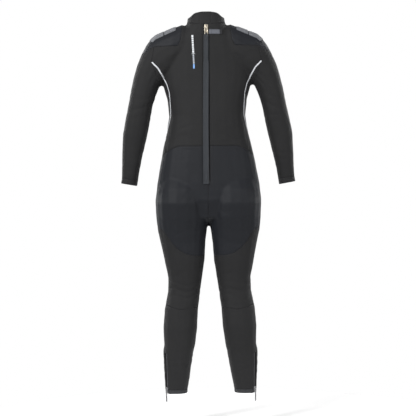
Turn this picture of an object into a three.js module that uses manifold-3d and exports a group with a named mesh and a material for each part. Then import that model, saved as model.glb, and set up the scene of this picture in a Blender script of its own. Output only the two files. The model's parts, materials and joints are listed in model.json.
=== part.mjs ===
// A full-length diving wetsuit, standing as if worn, seen as its separate glued and stitched panels.
// Millimetres. +Z is up, +Y is the wearer's front and +X the wearer's right hand.
// The origin is at the middle of the neck, level with the back collar seam.
import * as THREE from "three";
import { mergeVertices } from "three/addons/utils/BufferGeometryUtils.js";
import Module from "manifold-3d";

const wasm = await Module();
wasm.setup();

// Material thickness and clearances
const neopreneWall = 5;
const seamGap = 0.35;
const layerGap = 0.3;
const padThickness = 1.8;
const pipingThickness = 1.1;
const pipingWidth = 4;
const printThickness = 0.5;
const flapThickness = 2.8;
const collarPatchThickness = 1.6;

// Heights of the cutting lines, from the back collar seam down
const collarHeight = 44;
const collarSideHeight = 26;
const waistSeamDrop = 448;
const crotchDrop = 722;
const hemDrop = 1354;
const kneeShare = 0.503;
const ankleHemHeight = 14;
const belowHem = 30;

// Body breadths, as half widths from the centre line
const collarTopHalf = 61;
const chestHalf = 165;
const waistHalf = 141;
const hipHalf = 196;
const hipToWrist = 67;
const wristBreadth = 59;

// Sleeves
const shoulderHalf = 187;
const wristInner = hipHalf + hipToWrist;
const wristOuter = wristInner + wristBreadth;
const wristDrop = 583;
const cuffHeight = 20;
const wristCutReach = 40;

// Back zip
const backZipTopDrop = 2;
const backZipBottomDrop = 583;
const backZipTopDepth = 85;
const backZipBottomDepth = 113;
const zipSlotHalf = 8;
const zipTapeHalf = 17;
const zipTapeThickness = 1;
const zipSplit = 0.4;
const baffleHalf = 40;
const baffleThickness = 2;
const chainHalf = 3.6;
const chainThickness = 3.2;
const stopLength = 7;
const stopHalf = 5.5;

// Ankle zips
const ankleZipRise = 148;
const ankleZipTopDrop = hemDrop - ankleZipRise;
const ankleZipAngle = 36;
const ankleSlotHalf = 6;
const ankleTapeHalf = 13;
const ankleChainHalf = 2.6;
const ankleChainThickness = 2.8;
const gussetHalf = 19;
const gussetThickness = 2;

// Sliders, pullers and the leash
const sliderLength = 20;
const sliderPlate = 2.6;
const sliderFlange = 2.8;
const bridgeWidth = 4;
const bridgeHeight = 5.2;
const bridgeLength = 12;
const pivotRadius = 1.2;
const pivotHole = 1.75;
const pivotHeight = 2.1;
const pullerThickness = 1.8;
const pullerWindow = 7.6;
const backPullerLength = 27;
const backPullerHalf = 6.5;
const anklePullerLength = 42;
const anklePullerHalf = 4.6;
const leashWidth = 20;
const leashThickness = 1.6;
const leashLength = 545;

// Lock tab beside the back slider
const lockTabLength = 41;
const lockTabHeight = 17;
const lockTabThickness = 2.4;
const lockTabInner = 9;
const lockTabDrop = 32;
const lockAnchorLength = 7;

// Collar closure, measured across the back from the centre line
const flapLeft = -24;
const flapRight = 18;
const collarPatchLeft = -21;
const belowCollar = -20;

const deepest = 400;
const zipReach = 30;
const ankleZipReach = 16;
const zipStart = 1;
const ankleZipStart = 0.5;
const tapeTail = 6;
const baffleStart = 8;
const baffleTail = 14;
const ankleTail = 4;
const trunkSides = 28;
const neckSides = 24;
const legSides = 20;
const armSides = 16;
const black = { color: 0x2a2b2d, roughness: 0.85, metalness: 0 };
const blueBlack = { color: 0x23262c, roughness: 0.8, metalness: 0 };
const padGrey = { color: 0x6d7077, roughness: 0.6, metalness: 0 };
const paleGrey = { color: 0xb9bbbe, roughness: 0.55, metalness: 0 };
const tapeBlack = { color: 0x17181a, roughness: 0.75, metalness: 0 };
const plasticBlack = { color: 0x121315, roughness: 0.45, metalness: 0 };
const pullMetal = { color: 0xa89c86, roughness: 0.35, metalness: 1 };
const webbing = { color: 0x34383d, roughness: 0.8, metalness: 0 };
const printWhite = { color: 0xdfe2e4, roughness: 0.6, metalness: 0 };

const suit = new THREE.Group();

const mix = THREE.MathUtils.lerp;
const kneeSeamDrop = mix(crotchDrop, hemDrop, kneeShare);

function addPiece(name, geometry, look, matrix = new THREE.Matrix4(), mirrored = false) {
  const mesh = new THREE.Mesh(geometry, new THREE.MeshStandardMaterial(look));
  mesh.name = name;
  mesh.applyMatrix4(matrix);
  const holder = new THREE.Group();
  holder.scale.x = mirrored ? -1 : 1;
  holder.add(mesh);
  suit.add(holder);
}

function solidOf(geometry) {
  const bare = geometry.clone();
  bare.deleteAttribute("normal");
  bare.deleteAttribute("uv");
  const merged = mergeVertices(bare, 1e-4);
  const vertProperties = new Float32Array(merged.attributes.position.array);
  const triVerts = new Uint32Array(merged.index.array);
  return new wasm.Manifold(new wasm.Mesh({ numProp: 3, vertProperties, triVerts }));
}

function geometryOf(solid) {
  const mesh = solid.getMesh();
  const geometry = new THREE.BufferGeometry();
  geometry.setAttribute("position", new THREE.BufferAttribute(new Float32Array(mesh.vertProperties), 3));
  geometry.setIndex(new THREE.BufferAttribute(new Uint32Array(mesh.triVerts), 1));
  return geometry;
}

// The depth of the straight back zip line behind the origin, at a height
function zipLineY(z) {
  const share = (-z - backZipTopDrop) / (backZipBottomDrop - backZipTopDrop);
  return -mix(backZipTopDepth, backZipBottomDepth, share);
}

// A rounded outline between an outer and an inner edge point; share is 0 at its middle and 1 on its edge
function ringPoint(ring, angle, inset, share = 1) {
  const halfX = (ring.outer[0] - ring.inner[0]) / 2;
  const halfZ = (ring.outer[1] - ring.inner[1]) / 2;
  const reach = Math.hypot(halfX, halfZ);
  const across = Math.sign(Math.cos(angle)) * Math.abs(Math.cos(angle)) ** (2 / ring.round);
  const along = Math.sign(Math.sin(angle)) * Math.abs(Math.sin(angle)) ** (2 / ring.round);
  const width = share * across * (reach - inset) / reach;
  const depth = along > 0 ? ring.front : ring.back;
  return new THREE.Vector3(
    (ring.outer[0] + ring.inner[0]) / 2 + halfX * width,
    ring.y + share * along * (depth - inset),
    (ring.outer[1] + ring.inner[1]) / 2 + halfZ * width,
  );
}

// A cylinder whose rows are moved onto the rings, first ring on top
function loft(rings, inset, sides) {
  const rows = rings.length - 1;
  const cylinder = new THREE.CylinderGeometry(1, 1, rows, sides, rows, false, Math.PI / sides);
  const places = cylinder.attributes.position;
  for (let index = 0; index < places.count; index += 1) {
    const corner = new THREE.Vector3().fromBufferAttribute(places, index);
    const ring = rings[Math.round(rows / 2 - corner.y)];
    const angle = Math.atan2(-corner.z, corner.x);
    const point = ringPoint(ring, angle, inset, Math.round(Math.hypot(corner.x, corner.z)));
    places.setXYZ(index, point.x, point.y, point.z);
  }
  return solidOf(cylinder);
}

function levelRing(z, outerX, innerX, front, back, y = 0, round = 2.3) {
  return { outer: [outerX, z], inner: [innerX, z], front, back, y, round };
}

function trunkRing(z, half, front, y = 0, round = 2.6) {
  return levelRing(z, half, -half, front - y, y - zipLineY(z), y, round);
}

// The body form: neck, trunk, one arm and one leg, the other side mirrored
const neckRings = [
  levelRing(70, 58, -58, 50, 54, -16),
  levelRing(collarHeight, collarTopHalf, -collarTopHalf, 53, 57, -17),
  levelRing(20, 67, -67, 57, 60, -20),
  levelRing(0, 73, -73, 60, 62, -22),
  levelRing(-30, 84, -84, 60, 62, -22),
];
const seatZ = mix(-waistSeamDrop, -crotchDrop, 0.72);
const fullestZ = mix(-waistSeamDrop, -crotchDrop, 0.49);
const lumbarZ = mix(-333, -waistSeamDrop, 0.55);
const zipHeadroom = 8;
const thighAt = (share) => -mix(crotchDrop, kneeSeamDrop, share);
const calfAt = (share) => -mix(kneeSeamDrop, ankleZipTopDrop - zipHeadroom, share);
const trunkRings = [
  trunkRing(-backZipTopDrop, 68, 34, -22),
  trunkRing(-26, 88, 44, -20),
  trunkRing(-62, 132, 60, -15),
  trunkRing(-110, 156, 84, -8),
  trunkRing(-165, chestHalf, 102),
  trunkRing(-222, 161, 108),
  trunkRing(-272, 147, 100),
  trunkRing(-333, waistHalf, 94),
  trunkRing(lumbarZ, 151, 98),
  trunkRing(-waistSeamDrop, 163, 104),
  trunkRing(mix(-waistSeamDrop, -crotchDrop, 0.3), 179, 108),
  trunkRing(fullestZ, 189, 108),
  levelRing(seatZ, hipHalf, -hipHalf, 106, 112, 0, 2.6),
  levelRing(-crotchDrop + 14, 186, -186, 84, 88, 0, 2.6),
  levelRing(-crotchDrop - 6, 120, -120, 40, 40, 0, 2.6),
];
const legRings = [
  levelRing(seatZ + 85, 178, 6, 70, 92, -4),
  levelRing(seatZ + 40, 190, 3, 96, 116, -4),
  levelRing(seatZ - 10, hipHalf - 0.5, 1, 106, 124, -4),
  levelRing(-crotchDrop + 12, 192, 1, 98, 112, -4),
  levelRing(thighAt(0.104), 187, 7, 88, 94, -3),
  levelRing(thighAt(0.242), 178, 13, 82, 82, -2),
  levelRing(thighAt(0.453), 165, 18, 76, 74, 0),
  levelRing(thighAt(0.648), 153, 27, 68, 64, 3),
  levelRing(thighAt(0.802), 154, 35, 64, 58, 3),
  levelRing(calfAt(0.02), 166, 43, 58, 64, 0),
  levelRing(calfAt(0.443), 172, 47, 54, 68, -2),
  levelRing(calfAt(0.867), 170, 56, 50, 62, -2),
  levelRing(calfAt(1), 174, 61, 48, 59, -1),
  levelRing(-hemDrop - belowHem, 167.5, 94, 39, 41, 0),
];

function armRing(outerX, outerZ, innerX, innerZ, front, back, y) {
  return { outer: [outerX, outerZ], inner: [innerX, innerZ], front, back, y, round: 2.2 };
}

const wristRise = 10;
const armRings = [
  armRing(44, -12, 44, -118, 46, 52, -20),
  armRing(88, 2, 90, -148, 58, 64, -18),
  armRing(122, -9, 116, -170, 68, 70, -14),
  armRing(157, -22, 138, -192, 70, 70, -11),
  armRing(shoulderHalf, -34, 153, -204, 68, 68, -9),
  armRing(shoulderHalf + 20, -51, 163, -212, 64, 64, -8),
  armRing(shoulderHalf + 35, -71, 170, -217, 61, 61, -7),
  armRing(shoulderHalf + 53, -104, 174, -222, 58, 58, -6),
  armRing(shoulderHalf + 70, -143, 178, -228, 56, 56, -6),
  armRing(shoulderHalf + 83, -184, 182, -238, 54, 54, -5),
  armRing(shoulderHalf + 94, -230, 190, -257, 52, 52, -4),
  armRing(wristOuter - 32, -283, wristInner - 60, -300, 50, 50, -3),
  armRing(wristOuter - 20, -340, wristInner - 49, -357, 47, 47, -1),
  armRing(wristOuter - 9, -396, wristInner - 37, -412, 44, 44, 2),
  armRing(wristOuter - 5, -458, wristInner - 22, -473, 42, 41, 7),
  armRing(wristOuter - 3, -520, wristInner - 9, -532, 37, 36, 13),
  armRing(wristOuter, -wristDrop + wristRise / 2, wristInner, -wristDrop - wristRise / 2, 31, 31, 19),
  armRing(wristOuter + 3, -wristDrop - 36, wristInner + 7, -wristDrop - 46, 28, 28, 22),
];

const bustCentre = new THREE.Vector3(74, 46, -190);
const bustRadii = new THREE.Vector3(76, 70, 84);

function bust(inset) {
  const ball = new THREE.SphereGeometry(1, 16, 10);
  ball.scale(bustRadii.x - inset, bustRadii.y - inset, bustRadii.z - inset);
  ball.translate(bustCentre.x, bustCentre.y, bustCentre.z);
  return solidOf(ball);
}

function bodyForm(inset) {
  const half = loft(armRings, inset, armSides).add(loft(legRings, inset, legSides)).add(bust(inset));
  const middle = loft(trunkRings, inset, trunkSides).add(loft(neckRings, inset, neckSides));
  return half.add(half.mirror([1, 0, 0])).add(middle);
}

// A flat outline in X and Z, carried from y0 to y1
function slab(outline, y0 = -deepest, y1 = deepest) {
  const shape = new THREE.Shape(outline.map(([x, z]) => new THREE.Vector2(x, z)));
  const block = new THREE.ExtrudeGeometry(shape, { depth: y1 - y0, bevelEnabled: false });
  block.rotateX(Math.PI / 2);
  block.translate(0, y1, 0);
  return solidOf(block);
}

function mirrorLine(line) {
  return line.map(([x, z]) => [-x, z]);
}

// A strip of even width along a line, as an outline
function strip(line, width) {
  const points = line.map(([x, z]) => new THREE.Vector2(x, z));
  const sides = [[], []];
  points.forEach((point, index) => {
    const before = points[Math.max(index - 1, 0)];
    const after = points[Math.min(index + 1, points.length - 1)];
    const into = point.clone().sub(before).normalize();
    const out = after.clone().sub(point).normalize();
    const way = into.clone().add(out).normalize();
    const mitre = width / 2 / Math.max(way.dot(index ? into : out), 0.3);
    sides[0].push([point.x - way.y * mitre, point.y + way.x * mitre]);
    sides[1].unshift([point.x + way.y * mitre, point.y - way.x * mitre]);
  });
  return [...sides[0], ...sides[1]];
}

// Seam lines of the right half, as X and Z
const collarSeam = [[0, -backZipTopDrop], [40, 0], [74, 8], [86, 12]];
const shoulderSeam = [[86, 12], [87, 0], [94, -59], [104, -81], [192, -81], [240, -107], [300, -140]];
const shoulderCorner = [192, -81];
const armhole = [shoulderCorner, [201, -137], [174, -214]];
const underarm = [
  [174, -214], [172, -244], [176, -300], [184, -360], [200, -440], [222, -waistSeamDrop - 80],
];
const pipingLine = [
  [201, -137], [178, -160], [161, -189], [146, -219], [138, -251], [134.5, -295],
  [134, -333], [141, -365], [148, -388], [155, -422],
];
const sideSeamFoot = [153, -waistSeamDrop - 22];
const sideSeam = [...pipingLine, sideSeamFoot];
const waistSeam = [[0, -waistSeamDrop], [108, -waistSeamDrop], [138, -waistSeamDrop - 11], sideSeamFoot];
const waistSeamEnd = [sideSeamFoot, [222, -waistSeamDrop - 80]];
const seatCurve = [
  [250, -crotchDrop - 16], [186, -crotchDrop - 20], [172, -crotchDrop - 26], [155, -crotchDrop - 46],
  [137, -crotchDrop - 75], [115, -crotchDrop - 99], [89, -crotchDrop - 116], [60, -crotchDrop - 124],
  [20, -crotchDrop - 126], [0, -crotchDrop - 126],
];
const frontThighSeam = [
  [250, -crotchDrop - 16], [186, -crotchDrop - 20], [120, -crotchDrop - 42], [60, -crotchDrop - 62],
  [0, -crotchDrop - 70],
];
const kneeSeam = [
  [250, -kneeSeamDrop + 18], [168, -kneeSeamDrop + 16], [136, -kneeSeamDrop + 3],
  [105, -kneeSeamDrop - 4], [43, -kneeSeamDrop + 2], [0, -kneeSeamDrop + 2],
];
const hemSeam = [[0, -hemDrop + ankleHemHeight], [250, -hemDrop + ankleHemHeight]];

// The wrist cut runs square to the forearm
const wristSlope = wristRise / (wristOuter - wristInner);

function wristCut(raise) {
  const level = (x) => -wristDrop + raise + (x - (wristOuter + wristInner) / 2) * wristSlope;
  const ends = [wristInner - wristCutReach, wristOuter + wristCutReach];
  return ends.map((x) => [x, level(x)]);
}

const cuffSeam = wristCut(cuffHeight);
const wristHem = wristCut(0);

// Ankle zip: a straight line down the outer rear of the ankle, seen from outside
function legRingAt(z) {
  const below = legRings.findIndex((ring) => ring.outer[1] <= z);
  const high = legRings[below - 1];
  const low = legRings[below];
  const share = (high.outer[1] - z) / (high.outer[1] - low.outer[1]);
  const blend = (key) => mix(high[key], low[key], share);
  const outerX = mix(high.outer[0], low.outer[0], share);
  const innerX = mix(high.inner[0], low.inner[0], share);
  return levelRing(z, outerX, innerX, blend("front"), blend("back"), blend("y"));
}

// A frame with its origin at the top of a zip: Y out of the suit, Z up along the zip
function zipFrame(top, bottom, outward) {
  const up = top.clone().sub(bottom).normalize();
  const across = outward.clone().cross(up).normalize();
  const out = up.clone().cross(across).normalize();
  return new THREE.Matrix4().makeBasis(across, out, up).setPosition(top);
}

const backZipTop = new THREE.Vector3(0, zipLineY(-backZipTopDrop), -backZipTopDrop);
const backZipBottom = new THREE.Vector3(0, zipLineY(-backZipBottomDrop), -backZipBottomDrop);
const backZip = zipFrame(backZipTop, backZipBottom, new THREE.Vector3(0, -1, 0));
const backZipLength = backZipTop.distanceTo(backZipBottom);

// The flat of the ankle that carries the zip, between two neighbouring corners of the leg form
function ankleFlat(z) {
  const middle = -THREE.MathUtils.degToRad(ankleZipAngle);
  const corners = [-1, 1].map((side) => ringPoint(legRingAt(z), middle + side * Math.PI / legSides, 0));
  const along = corners[1].clone().sub(corners[0]);
  const outward = new THREE.Vector3(along.y, -along.x, 0).normalize();
  return { point: corners[0].clone().lerp(corners[1], 0.5), outward };
}

const ankleZipTop = ankleFlat(-ankleZipTopDrop).point;
const ankleZipBottom = ankleFlat(-hemDrop).point;
const ankleOut = ankleFlat(-hemDrop).outward;
const ankleZip = zipFrame(ankleZipTop, ankleZipBottom, ankleOut);
const ankleZipLength = ankleZipTop.distanceTo(ankleZipBottom);

// A box in a zip's frame, from low to high corner
function boxIn(frame, low, high) {
  const block = new THREE.BoxGeometry(high[0] - low[0], high[1] - low[1], high[2] - low[2]);
  block.translate((low[0] + high[0]) / 2, (low[1] + high[1]) / 2, (low[2] + high[2]) / 2);
  block.applyMatrix4(frame);
  return solidOf(block);
}

// The neoprene shell, trimmed at the collar, wrists and ankles
const outerForm = bodyForm(0);
const innerForm = bodyForm(neopreneWall);
const collarTop = [
  [-250, collarSideHeight], [-collarTopHalf, collarSideHeight], [-42, collarHeight - 4], [-18, collarHeight],
  [18, collarHeight], [42, collarHeight - 4], [collarTopHalf, collarSideHeight], [250, collarSideHeight],
  [250, 200], [-250, 200],
];
const frontDip = [[-200, collarSideHeight], [200, collarSideHeight], [200, 200], [-200, 200]];
const neckMiddleY = -20;
const belowAnkle = [[-250, -hemDrop], [250, -hemDrop], [250, -hemDrop - 100], [-250, -hemDrop - 100]];
const pastWrist = (depth) => [...wristHem].reverse().map(([x]) => [x, -wristDrop - depth]);
const belowWrist = [...wristHem, ...pastWrist(120)];
const trims = slab(collarTop)
  .add(slab(frontDip, neckMiddleY))
  .add(slab(belowAnkle))
  .add(slab(belowWrist))
  .add(slab(mirrorLine(belowWrist)));

function layer(outside, inside) {
  return bodyForm(outside).subtract(bodyForm(inside)).subtract(trims);
}

function seamCut(line, y0, y1) {
  const gap = slab(strip(line, seamGap), y0, y1);
  return gap.add(slab(strip(mirrorLine(line), seamGap), y0, y1));
}

const legLow = [[-250, -waistSeamDrop - 10], [250, -waistSeamDrop - 10], [250, -1500], [-250, -1500]];
const sideSplit = slab(legLow, -seamGap / 2, seamGap / 2);
const neckSplitOutline = [[-86, -60], [86, -60], [86, 13], [-86, 13]];
const neckSplit = slab(neckSplitOutline, neckMiddleY - seamGap / 2, neckMiddleY + seamGap / 2);
const centreSeam = [[0, -waistSeamDrop], [0, -crotchDrop - 40]];
const backSlot = boxIn(backZip, [-zipSlotHalf, -zipReach, -backZipLength], [zipSlotHalf, zipReach, 0]);
const ankleSlotLow = [-ankleSlotHalf, -ankleZipReach, -ankleZipLength - belowHem];
const ankleSlot = boxIn(ankleZip, ankleSlotLow, [ankleSlotHalf, ankleZipReach, 0]);

const cuts = [
  seamCut(collarSeam),
  seamCut(shoulderSeam),
  seamCut(armhole),
  seamCut(sideSeam),
  seamCut(waistSeam),
  seamCut(waistSeamEnd),
  seamCut(seatCurve, -deepest, 0),
  seamCut(frontThighSeam, 0, deepest),
  seamCut(kneeSeam),
  seamCut(hemSeam),
  seamCut(cuffSeam),
  seamCut(centreSeam),
  neckSplit,
  backSlot,
  ankleSlot,
  ankleSlot.mirror([1, 0, 0]),
];
const shell = cuts.reduce((body, cut) => body.subtract(cut), outerForm.subtract(innerForm).subtract(trims));
const splitShell = shell.subtract(sideSplit);

// Outlines of the panels, each from the seam lines round it
const reversed = (line) => [...line].reverse();
const trunkEdge = [...shoulderSeam.slice(0, 5), ...armhole.slice(1, 2), ...sideSeam.slice(1)];
const collarOutline = [...mirrorLine(reversed(collarSeam)), ...collarSeam.slice(1), [86, 200], [-86, 200]];
const backOutline = [...collarSeam, ...trunkEdge.slice(1), ...reversed(waistSeam).slice(1)];
const chestOutline = [
  ...mirrorLine(reversed(collarSeam)), ...collarSeam.slice(1), ...trunkEdge.slice(1),
  ...reversed(waistSeam).slice(1), ...mirrorLine(waistSeam).slice(1),
  ...mirrorLine(reversed(trunkEdge)).slice(1, -1),
];
const shoulderOutline = [...shoulderSeam, [300, 60], [86, 60]];
const sideOutline = [...sideSeam, ...waistSeamEnd.slice(1), ...reversed(underarm).slice(1)];
const sleeveEdge = wristOuter + wristCutReach + 20;
const sleeveOutline = [
  ...shoulderSeam.slice(4), [sleeveEdge, -140], [sleeveEdge, -620],
  ...reversed(cuffSeam), ...reversed(underarm), ...armhole.slice(1, 2),
];
const cuffOutline = [...cuffSeam, ...pastWrist(80)];
const seatOutline = [...waistSeam, ...waistSeamEnd.slice(1), [250, -crotchDrop + 100], ...seatCurve];
const frontHipOutline = [...waistSeam, ...waistSeamEnd.slice(1), [250, -crotchDrop + 100], ...frontThighSeam];
const thighBackOutline = [...seatCurve, ...reversed(kneeSeam)];
const thighFrontOutline = [...frontThighSeam, ...reversed(kneeSeam)];
const shinOutline = [...kneeSeam, ...hemSeam];
const hemOutline = [...hemSeam, [250, -1500], [0, -1500]];

function addPair(name, solid, look) {
  addPiece(`${name}_right`, geometryOf(solid), look);
  addPiece(`${name}_left`, geometryOf(solid), look, new THREE.Matrix4(), true);
}

addPair("back_panel", shell.intersect(slab(backOutline, -deepest, neckMiddleY)), black);
addPair("shoulder_panel", shell.intersect(slab(shoulderOutline)), blueBlack);
addPair("side_panel", shell.intersect(slab(sideOutline)), black);
addPair("sleeve", shell.intersect(slab(sleeveOutline)), black);
addPair("cuff", shell.intersect(slab(cuffOutline)), black);
addPair("seat_panel", splitShell.intersect(slab(seatOutline, -deepest, 0)), blueBlack);
addPair("front_hip_panel", splitShell.intersect(slab(frontHipOutline, 0, deepest)), blueBlack);
addPair("thigh_back_panel", splitShell.intersect(slab(thighBackOutline, -deepest, 0)), black);
addPair("thigh_front_panel", splitShell.intersect(slab(thighFrontOutline, 0, deepest)), black);
addPair("calf_panel", splitShell.intersect(slab(shinOutline, -deepest, 0)), black);
addPair("shin_panel", splitShell.intersect(slab(shinOutline, 0, deepest)), black);
addPair("ankle_hem", shell.intersect(slab(hemOutline)), tapeBlack);
addPiece("chest_panel", geometryOf(shell.intersect(slab(chestOutline, neckMiddleY, deepest))), black);

// Collar: a band that runs round from the back, closed by a flap that lies over its loop patch
const upright = (left, right) => [
  [left, belowCollar], [right, belowCollar], [right, 2 * collarHeight], [left, 2 * collarHeight],
];
const flapOutline = upright(flapLeft, flapRight);
const flapOpening = upright(flapLeft - layerGap, flapRight + layerGap);
const patchOutline = upright(collarPatchLeft, flapRight);
const collarSolid = shell.intersect(slab(collarOutline));
const collarCut = seamCut(collarSeam);
const flapLayer = layer(0, flapThickness).subtract(collarCut).intersect(slab(collarOutline));
const patchLayer = layer(flapThickness + layerGap, flapThickness + layerGap + collarPatchThickness)
  .subtract(collarCut)
  .intersect(slab(collarOutline));
addPiece("collar_band", geometryOf(collarSolid.subtract(slab(flapOpening, -deepest, neckMiddleY))), black);
addPiece("collar_flap", geometryOf(flapLayer.intersect(slab(flapOutline, -deepest, neckMiddleY))), black);
const loopPatch = patchLayer.intersect(slab(patchOutline, -deepest, neckMiddleY));
addPiece("collar_loop_patch", geometryOf(loopPatch), padGrey);

// Layers laid on the outside of the neoprene
function onSurface(thickness, outline, y0, y1) {
  return layer(-layerGap - thickness, -layerGap).intersect(slab(outline, y0, y1));
}

const shoulderPadOutline = [[112, -22], [150, -38], [187, -54], [197, -64], [220, -40], [160, 10], [112, 10]];
const kneePadOutline = [
  [60, -kneeSeamDrop + 148], [130, -kneeSeamDrop + 148], [141, -kneeSeamDrop + 112],
  [142, -kneeSeamDrop + 62], [129, -kneeSeamDrop + 27], [76, -kneeSeamDrop + 24],
  [57, -kneeSeamDrop + 56], [51, -kneeSeamDrop + 112],
];
const kneePadBack = 12;
addPair("shoulder_pad", onSurface(padThickness, shoulderPadOutline), padGrey);
addPair("knee_pad", onSurface(padThickness, kneePadOutline, kneePadBack, deepest), padGrey);
addPair("piping", onSurface(pipingThickness, strip(pipingLine, pipingWidth), -deepest, 0), paleGrey);

// A generic upright print, left of the back zip
const printOutline = [[-62, -170], [-48, -170], [-48, -42], [-62, -42]];
const print = onSurface(printThickness, printOutline, -deepest, neckMiddleY);
addPiece("back_print", geometryOf(print), printWhite);

// Lock tab that crosses the back slider, sewn down at its far end
const lockTabEnd = lockTabInner + lockTabLength;
const tabLow = -lockTabDrop - lockTabHeight / 2;
const tabHigh = -lockTabDrop + lockTabHeight / 2;

function tabBlock(x0, x1) {
  const outline = [[x0, tabLow], [x1, tabLow], [x1, tabHigh], [x0, tabHigh]];
  return geometryOf(onSurface(lockTabThickness, outline, -deepest, neckMiddleY));
}

addPiece("lock_tab", tabBlock(lockTabInner, lockTabEnd), padGrey);
const anchorStart = lockTabEnd + layerGap;
addPiece("lock_tab_anchor", tabBlock(anchorStart, anchorStart + lockAnchorLength), tapeBlack);

// Zip parts, each drawn in its zip's frame
function block(low, high) {
  const box = new THREE.BoxGeometry(high[0] - low[0], high[1] - low[1], high[2] - low[2]);
  return box.translate((low[0] + high[0]) / 2, (low[1] + high[1]) / 2, (low[2] + high[2]) / 2);
}

function placed(frame, x, y, z) {
  return frame.clone().multiply(new THREE.Matrix4().makeTranslation(x, y, z));
}

// A slider: a channel over the teeth with an arched bridge that holds the puller
function sliderGeometry(teethHalf, teethTop) {
  const inside = teethHalf + layerGap;
  const outside = inside + sliderFlange;
  const foot = -neopreneWall + 0.5;
  const under = teethTop + layerGap;
  const top = under + sliderPlate;
  const channel = new THREE.Shape([
    [-outside, foot], [-inside, foot], [-inside, under], [inside, under],
    [inside, foot], [outside, foot], [outside, top], [-outside, top],
  ].map(([x, y]) => new THREE.Vector2(x, y)));
  const body = new THREE.ExtrudeGeometry(channel, { depth: sliderLength, bevelEnabled: false });
  body.translate(0, 0, -sliderLength / 2);
  const arch = new THREE.Shape();
  arch.moveTo(top - 0.5, -bridgeLength / 2);
  arch.lineTo(top + 1, -bridgeLength / 2);
  arch.quadraticCurveTo(top + bridgeHeight, -bridgeLength / 2, top + bridgeHeight, 0);
  arch.quadraticCurveTo(top + bridgeHeight, bridgeLength / 2, top + 1, bridgeLength / 2);
  arch.lineTo(top - 0.5, bridgeLength / 2);
  arch.closePath();
  arch.holes.push(new THREE.Path().absarc(top + pivotHeight, 0, pivotHole, 0, 2 * Math.PI, true));
  const bridge = new THREE.ExtrudeGeometry(arch, {
    depth: bridgeWidth, bevelEnabled: false, curveSegments: 8,
  });
  bridge.translate(0, 0, -bridgeWidth / 2);
  const turned = new THREE.Matrix4().makeBasis(
    new THREE.Vector3(0, 1, 0),
    new THREE.Vector3(0, 0, 1),
    new THREE.Vector3(1, 0, 0),
  );
  bridge.applyMatrix4(turned);
  return geometryOf(solidOf(body).add(solidOf(bridge)));
}

// The height of a slider's puller pivot above the neoprene
function pivotAbove(teethTop) {
  return teethTop + layerGap + sliderPlate + pivotHeight;
}

// A puller: a plate that hangs from its top bar, with a window for the bridge and a slot at the foot
function pullerGeometry(length, half) {
  const barHalf = pivotRadius - 0.1;
  const windowHalf = bridgeWidth / 2 + 0.6;
  const plate = new THREE.Shape();
  plate.moveTo(-half + 1.5, barHalf);
  plate.quadraticCurveTo(-half, barHalf, -half, -1.5);
  plate.lineTo(-half + 1, -pullerWindow - 3);
  plate.lineTo(-half, -length + 2.5);
  plate.quadraticCurveTo(-half, -length, -half + 2.5, -length);
  plate.lineTo(half - 2.5, -length);
  plate.quadraticCurveTo(half, -length, half, -length + 2.5);
  plate.lineTo(half - 1, -pullerWindow - 3);
  plate.lineTo(half, -1.5);
  plate.quadraticCurveTo(half, barHalf, half - 1.5, barHalf);
  const hole = (x, top, bottom) => new THREE.Path([
    new THREE.Vector2(-x, top), new THREE.Vector2(-x, bottom),
    new THREE.Vector2(x, bottom), new THREE.Vector2(x, top),
  ]);
  plate.holes.push(hole(windowHalf, -barHalf, -pullerWindow));
  plate.holes.push(hole(half - 2, -length + 6, -length + 3));
  const geometry = new THREE.ExtrudeGeometry(plate, {
    depth: pullerThickness, bevelEnabled: false, curveSegments: 4,
  });
  geometry.translate(0, 0, -pullerThickness / 2);
  geometry.rotateX(Math.PI / 2);
  return geometry;
}

// Back zip
const tapeTop = neopreneWall + layerGap;
const baffleTop = tapeTop + zipTapeThickness + layerGap;
const teethTop = -neopreneWall + chainThickness;
const sliderDrop = 13;
const tapeLow = [-zipTapeHalf, -zipReach, -backZipLength - tapeTail];
const tapeBox = boxIn(backZip, tapeLow, [-zipSplit, zipReach, -zipStart]);
addPair("zip_tape", layer(tapeTop, tapeTop + zipTapeThickness).intersect(tapeBox), tapeBlack);
const baffleLow = [-baffleHalf, -zipReach, -backZipLength - baffleTail];
const baffleBox = boxIn(backZip, baffleLow, [baffleHalf, zipReach, -baffleStart]);
const baffle = layer(baffleTop, baffleTop + baffleThickness).intersect(baffleBox);
addPiece("zip_baffle", geometryOf(baffle), black);
const teethFoot = -backZipLength + stopLength + 2 * layerGap;
const teeth = block([-chainHalf, -neopreneWall, teethFoot], [chainHalf, teethTop, -zipStart]);
addPiece("zip_teeth", teeth, plasticBlack, backZip);
const stopLow = [-stopHalf, -neopreneWall, -backZipLength + layerGap];
const stop = block(stopLow, [stopHalf, teethTop, teethFoot - layerGap]);
addPiece("zip_end_stop", stop, plasticBlack, backZip);
const backPivot = placed(backZip, 0, pivotAbove(teethTop), -sliderDrop);
addPiece("back_slider", sliderGeometry(chainHalf, teethTop), pullMetal, placed(backZip, 0, 0, -sliderDrop));
addPiece("back_puller", pullerGeometry(backPullerLength, backPullerHalf), pullMetal, backPivot);

// Leash: flat webbing that hangs from the puller along the zip, drifting a little to the wearer's left
const leashDrift = [[0, 1], [-90, 2], [-200, 4], [-320, 6], [-430, 7], [-leashLength, 8]];
const leashSides = [leashDrift, reversed(leashDrift)].map((line, side) => (
  line.map(([z, x]) => new THREE.Vector2(x + (side ? leashWidth : -leashWidth) / 2, z))
));
const leashShape = new THREE.Shape(leashSides.flat());
const leash = new THREE.ExtrudeGeometry(leashShape, { depth: leashThickness, bevelEnabled: false });
leash.translate(0, 0, -leashThickness / 2);
leash.rotateX(Math.PI / 2);
addPiece("leash", leash, webbing, placed(backPivot, 0, 0, -backPullerLength - layerGap));

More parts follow.
